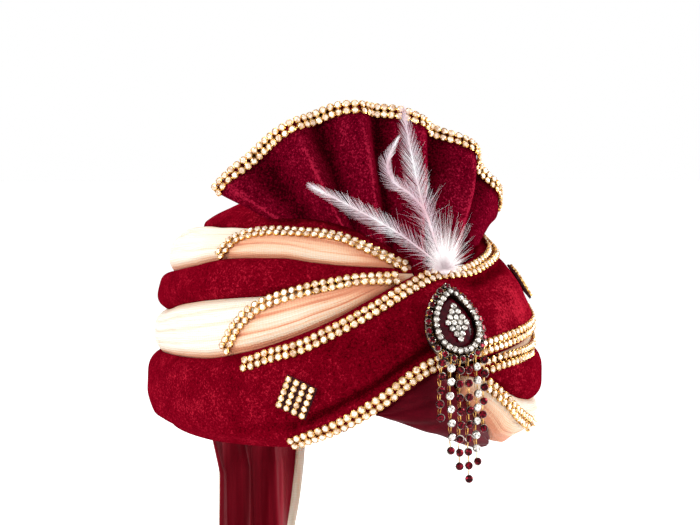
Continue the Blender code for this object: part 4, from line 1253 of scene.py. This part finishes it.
def fan_plain(share, rise):
    """The fan without its pleats."""
    turn = fan_turn(share)
    foot = crown_foot(turn) - CROWN_LAP + 0.0030 / BODY_HEIGHT
    base = place(turn, foot, np.full(foot.shape, -0.0010))
    outer = np.stack((
        CREST_HALF_WIDTH * fan_across(share), -CREST_SWEEP * fan_ahead(share), CREST_TOP * fan_height(share),
    ), -1)
    return base + (outer - base) * rise[..., None]


def fan_pleat(share, rise):
    """How far the pleats push the fan forward, and painted light along each crest with painted shade in each
    valley.
    """
    turn = 2 * np.pi * (share - 0.165) / 0.182
    near_edge = np.clip((rise - 0.55) / 0.45, 0, 1) ** 1.5
    sharp = 1 - 0.75 * near_edge
    wave = np.sin(turn) - 0.36 * sharp * np.sin(2 * turn) + 0.15 * sharp * np.sin(3 * turn)
    fade = np.minimum(1.0, 0.12 + 1.15 * rise) * (1 - 0.55 * near_edge)
    peak = 0.91 + 0.29 * sharp
    crest = np.clip(wave / peak, 0, 1)
    crest_light_valley_shade = 0.5 * crest ** 8 + 1.2 * crest ** 50 - 1.6 * np.clip(-wave / peak, 0, 1) ** 1.3
    return 0.0068 * wave * fade, crest_light_valley_shade


def fan_spot(share, rise, lift):
    """Points of the pleated fan, and the way off its front."""
    share, rise = np.broadcast_arrays(np.clip(share, 0, 1), rise)
    along = fan_plain(np.minimum(share + 0.01, 1), rise) - fan_plain(np.maximum(share - 0.01, 0), rise)
    up = fan_plain(share, np.minimum(rise + 0.02, 1)) - fan_plain(share, np.maximum(rise - 0.02, 0))
    front = np.cross(along, up)
    front = front / np.linalg.norm(front, axis=-1, keepdims=True)
    level = front * np.array([1.0, 1.0, 0.25])
    level = level / np.linalg.norm(level, axis=-1, keepdims=True)
    pleat, _ = fan_pleat(share, rise)
    gather = 0.0006 * np.sin(2 * np.pi * 31 * share) * np.clip(1 - 2.2 * rise, 0, 1)
    return fan_plain(share, rise) + level * pleat[..., None] + front * (gather + lift)[..., None]


def two_sided(name, front, back, depth, lay=None):
    """A closed sheet between a front and a back grid of points."""
    columns, rows = front.shape[0] - 1, front.shape[1] - 1
    width, count = rows + 1, front.shape[0] * front.shape[1]
    faces = []
    for column in range(columns):
        for row in range(rows):
            a = column * width + row
            quad = (a, a + width, a + width + 1, a + 1)
            faces += [quad, tuple(count + v for v in reversed(quad))]
    border = [column * width for column in range(columns)] + [columns * width + row for row in range(rows)]
    border += [column * width + rows for column in range(columns, 0, -1)] + list(range(rows, 0, -1))
    for here, after in zip(border, border[1:] + border[:1]):
        faces.append((after, here, count + here, count + after))
    points = np.concatenate((front.reshape(-1, 3), back.reshape(-1, 3)))
    threads = None if lay is None else np.concatenate((lay.reshape(-1, 3), lay.reshape(-1, 3)))
    return cloth_object(name, points, faces, np.tile(depth.reshape(-1), 2), threads)


fan_share, fan_rise = np.meshgrid(np.linspace(0, 1, 241), np.linspace(0, 1, 49), indexing="ij")
uneven = 0.0007 * ruffle(fan_plain(fan_share, fan_rise), 0.020, 7.7)
fan_grid = fan_spot(fan_share, fan_rise, uneven)
# The fan's depth is painted light along the pleats' crests and painted shade in their valleys.
fan = two_sided(
    "velvet_fan", fan_spot(fan_share, fan_rise, uneven + CREST_HALF_THICK),
    fan_spot(fan_share, fan_rise, uneven - CREST_HALF_THICK), -fan_pleat(fan_share, fan_rise)[1],
)
fan_velvet = velvet("fan_velvet", (0.016, 0.0, 0.0012), (0.086, 0.0001, 0.0060), (0.27, 0.008, 0.028), 0.25)
fan.data.materials.append(fan_velvet)
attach(fan, "root")
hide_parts("crest_fan")
fan_line = np.linspace(0.004, 0.996, EDGE_STEPS)


def fan_edge(rise, lift):
    """A line along the fan at one height, at one distance in front of it."""
    return fan_spot(fan_line, np.full(EDGE_STEPS, rise), np.full(EDGE_STEPS, lift))


edge_points = fan_edge(EDGE_RISE, EDGE_LIFT)
edge_offs = np.cross(np.gradient(edge_points, axis=0), fan_edge(0.99, EDGE_LIFT) - edge_points)
edge_offs = edge_offs / np.linalg.norm(edge_offs, axis=1, keepdims=True)
ahead = fan_edge(EDGE_RISE, 0.01) - edge_points
edge_offs = edge_offs * np.sign((edge_offs * ahead).sum(axis=1, keepdims=True))
crest_chain = two_row_chain("chain_crest", edge_points, edge_offs, "trim_crest", 21, sewn=False)

# The feathers are white marabou, faintly pink: three narrow blades on pale quills rise from
# a puff of down that is tied over the band's upper trim and hides where they meet. Each
# quill's path is in shares of the reach, across, ahead and up.
FEATHER_REACH = 0.080
VANE_REACH = (0.0108, 0.0135, 0.0085)
BARB_PAIRS, DOWN_BARBS, QUILL_STEPS = 240, 1150, 24
VANE_THICK, DOWN_THICK = (0.00017, 0.00009), (0.00016, 0.00010)
QUILL_RADIUS, KNOT_RADIUS, KNOT_LIFT = 0.00042, 0.0027, 0.0090
QUILLS = (
    ((0.0, 0.0, 0.0), (-0.20, -0.18, 0.21), (-0.40, -0.38, 0.37), (-0.60, -0.54, 0.50)),
    ((0.0, 0.0, 0.0), (-0.03, -0.16, 0.37), (0.01, -0.32, 0.67), (0.05, -0.45, 0.96)),
    (
        (0.0, 0.0, 0.0), (-0.02, -0.07, 0.18), (-0.05, -0.13, 0.36), (-0.13, -0.19, 0.47),
        (-0.205, -0.25, 0.54), (-0.228, -0.285, 0.63), (-0.188, -0.31, 0.71), (-0.105, -0.34, 0.80),
    ),
)


def barb(name, taper):
    """A barb of unit length along X: a thin three-sided blade that tapers."""
    form = bmesh.new()
    rows = []
    for x in (0, 0.25, 0.5, 0.75, 1):
        thick = 0.5 * (1 - taper * x)
        corners = [(x, thick * math.cos(a), thick * math.sin(a)) for a in (1.57, 3.67, 5.76)]
        rows.append([form.verts.new(corner) for corner in corners])
    join_rings(form, rows)
    turn_out(form)
    return part_object(name, form)


feather_white, tree, shader = new_material(
    "feather_white", 0.55, specular_ior_level=0.3, sheen_weight=0.4, sheen_roughness=0.4,
    subsurface_weight=0.25, subsurface_scale=0.002,
)
colour_by(tree, shader, mottle(tree, object_place(tree), 60.0, 3.0), (
    (0.36, (0.60, 0.40, 0.45)), (0.5, (0.72, 0.58, 0.61)), (0.62, (0.84, 0.79, 0.80)),
))
feather_down, tree, shader = new_material(
    "feather_down_white", 0.6, specular_ior_level=0.2, sheen_weight=0.5, sheen_roughness=0.4,
)
colour_by(tree, shader, mottle(tree, object_place(tree), 90.0, 3.0), (
    (0.36, (0.84, 0.74, 0.76)), (0.48, (0.93, 0.90, 0.90)), (0.6, (0.98, 0.97, 0.97)),
))
root = Vector(place(np.array(9.0), np.array(0.640), np.array(top_at(9.0, 0.65) + KNOT_LIFT)))
pick = random.Random(11)
vane_barb, down_barb = barb("vane_barb", 0.85), barb("down_barb", 0.80)
vane_spots, down_spots, quill_points = [], [], []
for number, shaft in enumerate(QUILLS):
    numbered = [(index, *point) for index, point in enumerate(shaft)]
    curves = [follow(numbered, column) for column in (1, 2, 3)]

    def spine(share):
        """A point of this feather's quill, from its foot to its tip."""
        across, ahead, up = (float(curve(np.array(share * (len(shaft) - 1.0)))) for curve in curves)
        return root + FEATHER_REACH * Vector((across, -ahead, up))

    quill_points.append([spine(step / QUILL_STEPS) for step in range(QUILL_STEPS + 1)])
    for step in range(BARB_PAIRS):
        share = (step + 0.5) / BARB_PAIRS
        here = spine(share)
        way = (spine(min(share + 0.02, 1)) - spine(max(share - 0.02, 0))).normalized()
        side = way.cross(Vector((-0.35, -1.0, 0.25))).normalized()
        face = side.cross(way).normalized()
        for hand in (-1, 1):
            loose = pick.random() < (0.40 if share < 0.35 else 0.07)
            lean = math.radians(pick.gauss(53 + 12 * share + 22 * share ** 6, 2.5 if not loose else 15))
            swing = pick.gauss(0.0, 0.05 if not loose else 0.5)
            run = (hand * side * math.cos(lean) + way * math.sin(lean) + face * swing).normalized()
            full = 0.34 + 0.66 * math.sin(math.pi * min(0.85 * share + 0.12, 1.0)) ** 0.8
            reach = VANE_REACH[number] * full * pick.uniform(0.88, 1.04)
            reach = reach * (1.35 if loose and share < 0.4 else 1.0)
            off = (face - face.dot(run) * run).normalized()
            vane_spots.append((here, off, run, (reach, *VANE_THICK)))
for step in range(DOWN_BARBS):
    lift = pick.uniform(-0.55, 1.0)
    around = pick.uniform(0, 2 * math.pi)
    flat = math.sqrt(max(0.0, 1 - lift * lift))
    across, ahead = flat * math.cos(around) * 0.85 - 0.12, flat * math.sin(around) * 0.7 - 0.22
    run = Vector((across, ahead, lift + 0.42)).normalized()
    off = run.cross(Vector((pick.gauss(0, 1), pick.gauss(0, 1), pick.gauss(0, 1)))).normalized()
    reach = pick.uniform(0.004, 0.009) + 0.026 * pick.random() ** 2 * max(0.0, run.z) ** 2
    start = root + 0.0021 * run
    down_spots.append((start, off, run, (reach, *DOWN_THICK)))
vanes = set_parts("feather_vanes", vane_spots, vane_barb, feather_white, 1.0, 0.05, 0.0, 81)
down = set_parts("feather_down", down_spots, down_barb, feather_down, 1.0, 0.25, 0.0, 82)
quill_curve = bpy.data.curves.new("quills", "CURVE")
quill_curve.dimensions = "3D"
quill_curve.bevel_depth = QUILL_RADIUS
quill_curve.bevel_resolution = 2
quill_curve.use_fill_caps = True
for points in quill_points:
    line = quill_curve.splines.new("POLY")
    line.points.add(len(points) - 1)
    for index, (point, spot) in enumerate(zip(line.points, points)):
        point.co = (*spot, 1)
        point.radius = 1.0 - 0.75 * index / len(points)
quill_object = bpy.data.objects.new("quills_line", quill_curve)
scene.collection.objects.link(quill_object)
graph = bpy.context.evaluated_depsgraph_get()
quill_mesh = bpy.data.meshes.new_from_object(quill_object.evaluated_get(graph))
bpy.data.objects.remove(quill_object, do_unlink=True)
quills = bpy.data.objects.new("feather_quills", quill_mesh)
scene.collection.objects.link(quills)
quill_mesh.shade_smooth()
quill_mesh.materials.clear()
quill_mesh.materials.append(feather_white)
form = bmesh.new()
bmesh.ops.create_icosphere(form, subdivisions=3, radius=KNOT_RADIUS, matrix=Matrix.Translation(root))
knot = part_object("down_knot", form)
for vertex in knot.data.vertices:
    vertex.co = root + (vertex.co - root) * (1 + 0.25 * noise.noise(vertex.co * 400))
knot.data.shade_smooth()
knot.data.materials.append(feather_down)
for piece in (vanes, down, quills, knot):
    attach(piece, "root")
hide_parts("feather_plume")
for part in (vane_barb, down_barb, bead_part, link_part, loop_part):
    bpy.data.objects.remove(part, do_unlink=True)

# The tail hangs down the back from inside the rim: the free end of the maroon satin, in
# soft folds with a stitched hem, over the end of the cream gauze.
TAIL_START, TAIL_END, TAIL_LENGTH, TAIL_TUCK = 153.0, 206.0, 0.100, 0.018
TAIL_SEAT, TAIL_THICK = 0.0161, 0.0016


def tail_layer(name, start, end, depth, creases, shade):
    """A hanging layer of cloth as a thin closed sheet, folded more deeply as it falls free."""
    along, across = np.meshgrid(np.linspace(0, 1, 161), np.linspace(0, 1, 61), indexing="ij")
    drop = across * (TAIL_TUCK + TAIL_LENGTH) - TAIL_TUCK
    below = np.maximum(0.0, (drop - 0.004) / TAIL_LENGTH)
    turn = start + (end - start - 9.0 * below ** 2) * along
    wave = 1 + np.sin(np.radians(19.0 * (turn - TAIL_START)) + 0.6)
    full = np.minimum(1.0, 3 * below)
    fine = np.sin(np.radians(47.0 * turn) + 4 * below) + 0.6 * np.sin(np.radians(83.0 * turn) - 5 * below)
    sides = []
    for through in (0.25, 0.80):
        lift = -TAIL_SEAT - depth - through * TAIL_THICK
        lift = lift - 0.0045 * full * wave - creases * full * (fine + 1.6)
        seat = place(turn, np.full(turn.shape, 0.02), lift)
        sides.append(np.stack((seat[..., 0], seat[..., 1], -drop), -1))
    threads = np.stack((drop, 0.10 * along, 0 * drop), -1)
    # The depth attribute is painted shade: an even share set by shade, and more along the folds.
    return two_sided(name, sides[0], sides[1], np.clip(shade + 0.20 * fine, 0, 1), threads), sides


tail_finish = satin(
    "tail_satin_finish", (0.055, 0.0010, 0.0032), (0.135, 0.002, 0.0080), (0.27, 0.012, 0.024), (120, 120, 6),
)
tail_satin, satin_grid = tail_layer("satin_tail", TAIL_START, TAIL_END, 0.0024, 0.0005, 0.15)
tail_cream, cream_grid = tail_layer("gauze_tail", TAIL_START + 4, TAIL_END + 4, 0.0, 0.0002, -0.10)
for piece, grid, node, slot, finish in (
    (tail_satin, satin_grid, "tail_satin", "maroon_satin", tail_finish),
    (tail_cream, cream_grid, "tail_cream", "cream_gauze", cream_gauze),
):
    piece.data.materials.append(finish)
    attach(piece, "root")
    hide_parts(node)

# The stitching shows where nothing covers it: two rows beside each seam of the cap, a row
# along both edges of the sweatband, and a row above the hem of each tail layer.


def thread_stitch():
    """A stitch of unit length along X, lying in the cloth at both ends."""
    form = bmesh.new()
    rows = []
    for x, high, thick in ((-0.5, -0.10, 0.35), (-0.28, 0.28, 0.9), (0.28, 0.28, 0.9), (0.5, -0.10, 0.35)):
        turns = [math.pi * step / 2.5 for step in range(5)]
        corners = [(x, 0.5 * thick * math.cos(a), high + 0.5 * thick * math.sin(a)) for a in turns]
        rows.append([form.verts.new(corner) for corner in corners])
    join_rings(form, rows)
    turn_out(form)
    return part_object("thread_stitch", form)


THREAD = 0.0006


def stitch_row(points, offs, pitch, length):
    """Stitches of one length at an even pitch along a line on cloth."""
    here, off, run = evenly(points, offs, pitch)
    return [(spot, o, r, (length, THREAD, THREAD)) for spot, o, r in zip(here, off, run)]


cotton, tree, shader = new_material("cotton_thread", 0.7, specular_ior_level=0.2, sheen_weight=0.2)
ply = mottle(tree, object_place(tree), 1500.0, 2.0)
colour_by(tree, shader, ply, (
    (0.35, (0.20, 0.020, 0.025)), (0.5, (0.32, 0.045, 0.050)), (0.65, (0.45, 0.10, 0.10)),
))
relief_by(tree, shader, ply, 0.4, 0.0002)
stitch_part = thread_stitch()
cap_inside = -FOLD_DEPTH - CAP_GAP - CAP_WALL
sweat_inside = -FOLD_DEPTH - SWEAT_SEAT - SWEAT_THICK - 0.0002
seam_spots, band_spots = [], []
for seam in range(-150, 180, 60):
    for side in (-1, 1):
        height = np.linspace(float(rim_line(seam)) + 0.22, 0.93, 60)
        turn = seam + side * 1.1 / np.maximum(np.cos(0.5 * np.pi * np.clip(height - 0.5, 0, 0.44)), 0.4)
        seam_spots += stitch_row(place(turn, height, cap_inside), -outward(turn, height), 0.0036, 0.0025)
around = np.linspace(-180, 180, 361)
for level in (0.037, 0.188):
    height = rim_line(around) + level
    band_spots += stitch_row(place(around, height, sweat_inside), -outward(around, height), 0.0038, 0.0026)
hem_spots = []
for grid, inward in ((satin_grid[1], True), (cream_grid[0], False)):
    line = grid[:, -3]
    off = np.cross(np.gradient(line, axis=0), grid[:, -5] - line)
    off = off * np.sign((off * line * np.array([1, 1, 0])).sum(axis=1, keepdims=True)) * (-1 if inward else 1)
    hem_spots.append(stitch_row(line, off, 0.0040, 0.0027))
for title, spots, slot, finish in (
    ("cap_seam_stitches", seam_spots, "cap_cloth", cotton),
    ("sweatband_stitches", band_spots, "cap_cloth", cotton),
    ("satin_hem_stitches", hem_spots[0], "maroon_satin", cotton),
    ("gauze_hem_stitches", hem_spots[1], "cream_gauze", feather_down),
):
    stitches = set_parts(title, spots, stitch_part, finish, 1.0, 0.04, 0.05, 91)
    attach(stitches, "root")
for part in (stone_part, cup_part, bar_part, stitch_part):
    bpy.data.objects.remove(part, do_unlink=True)
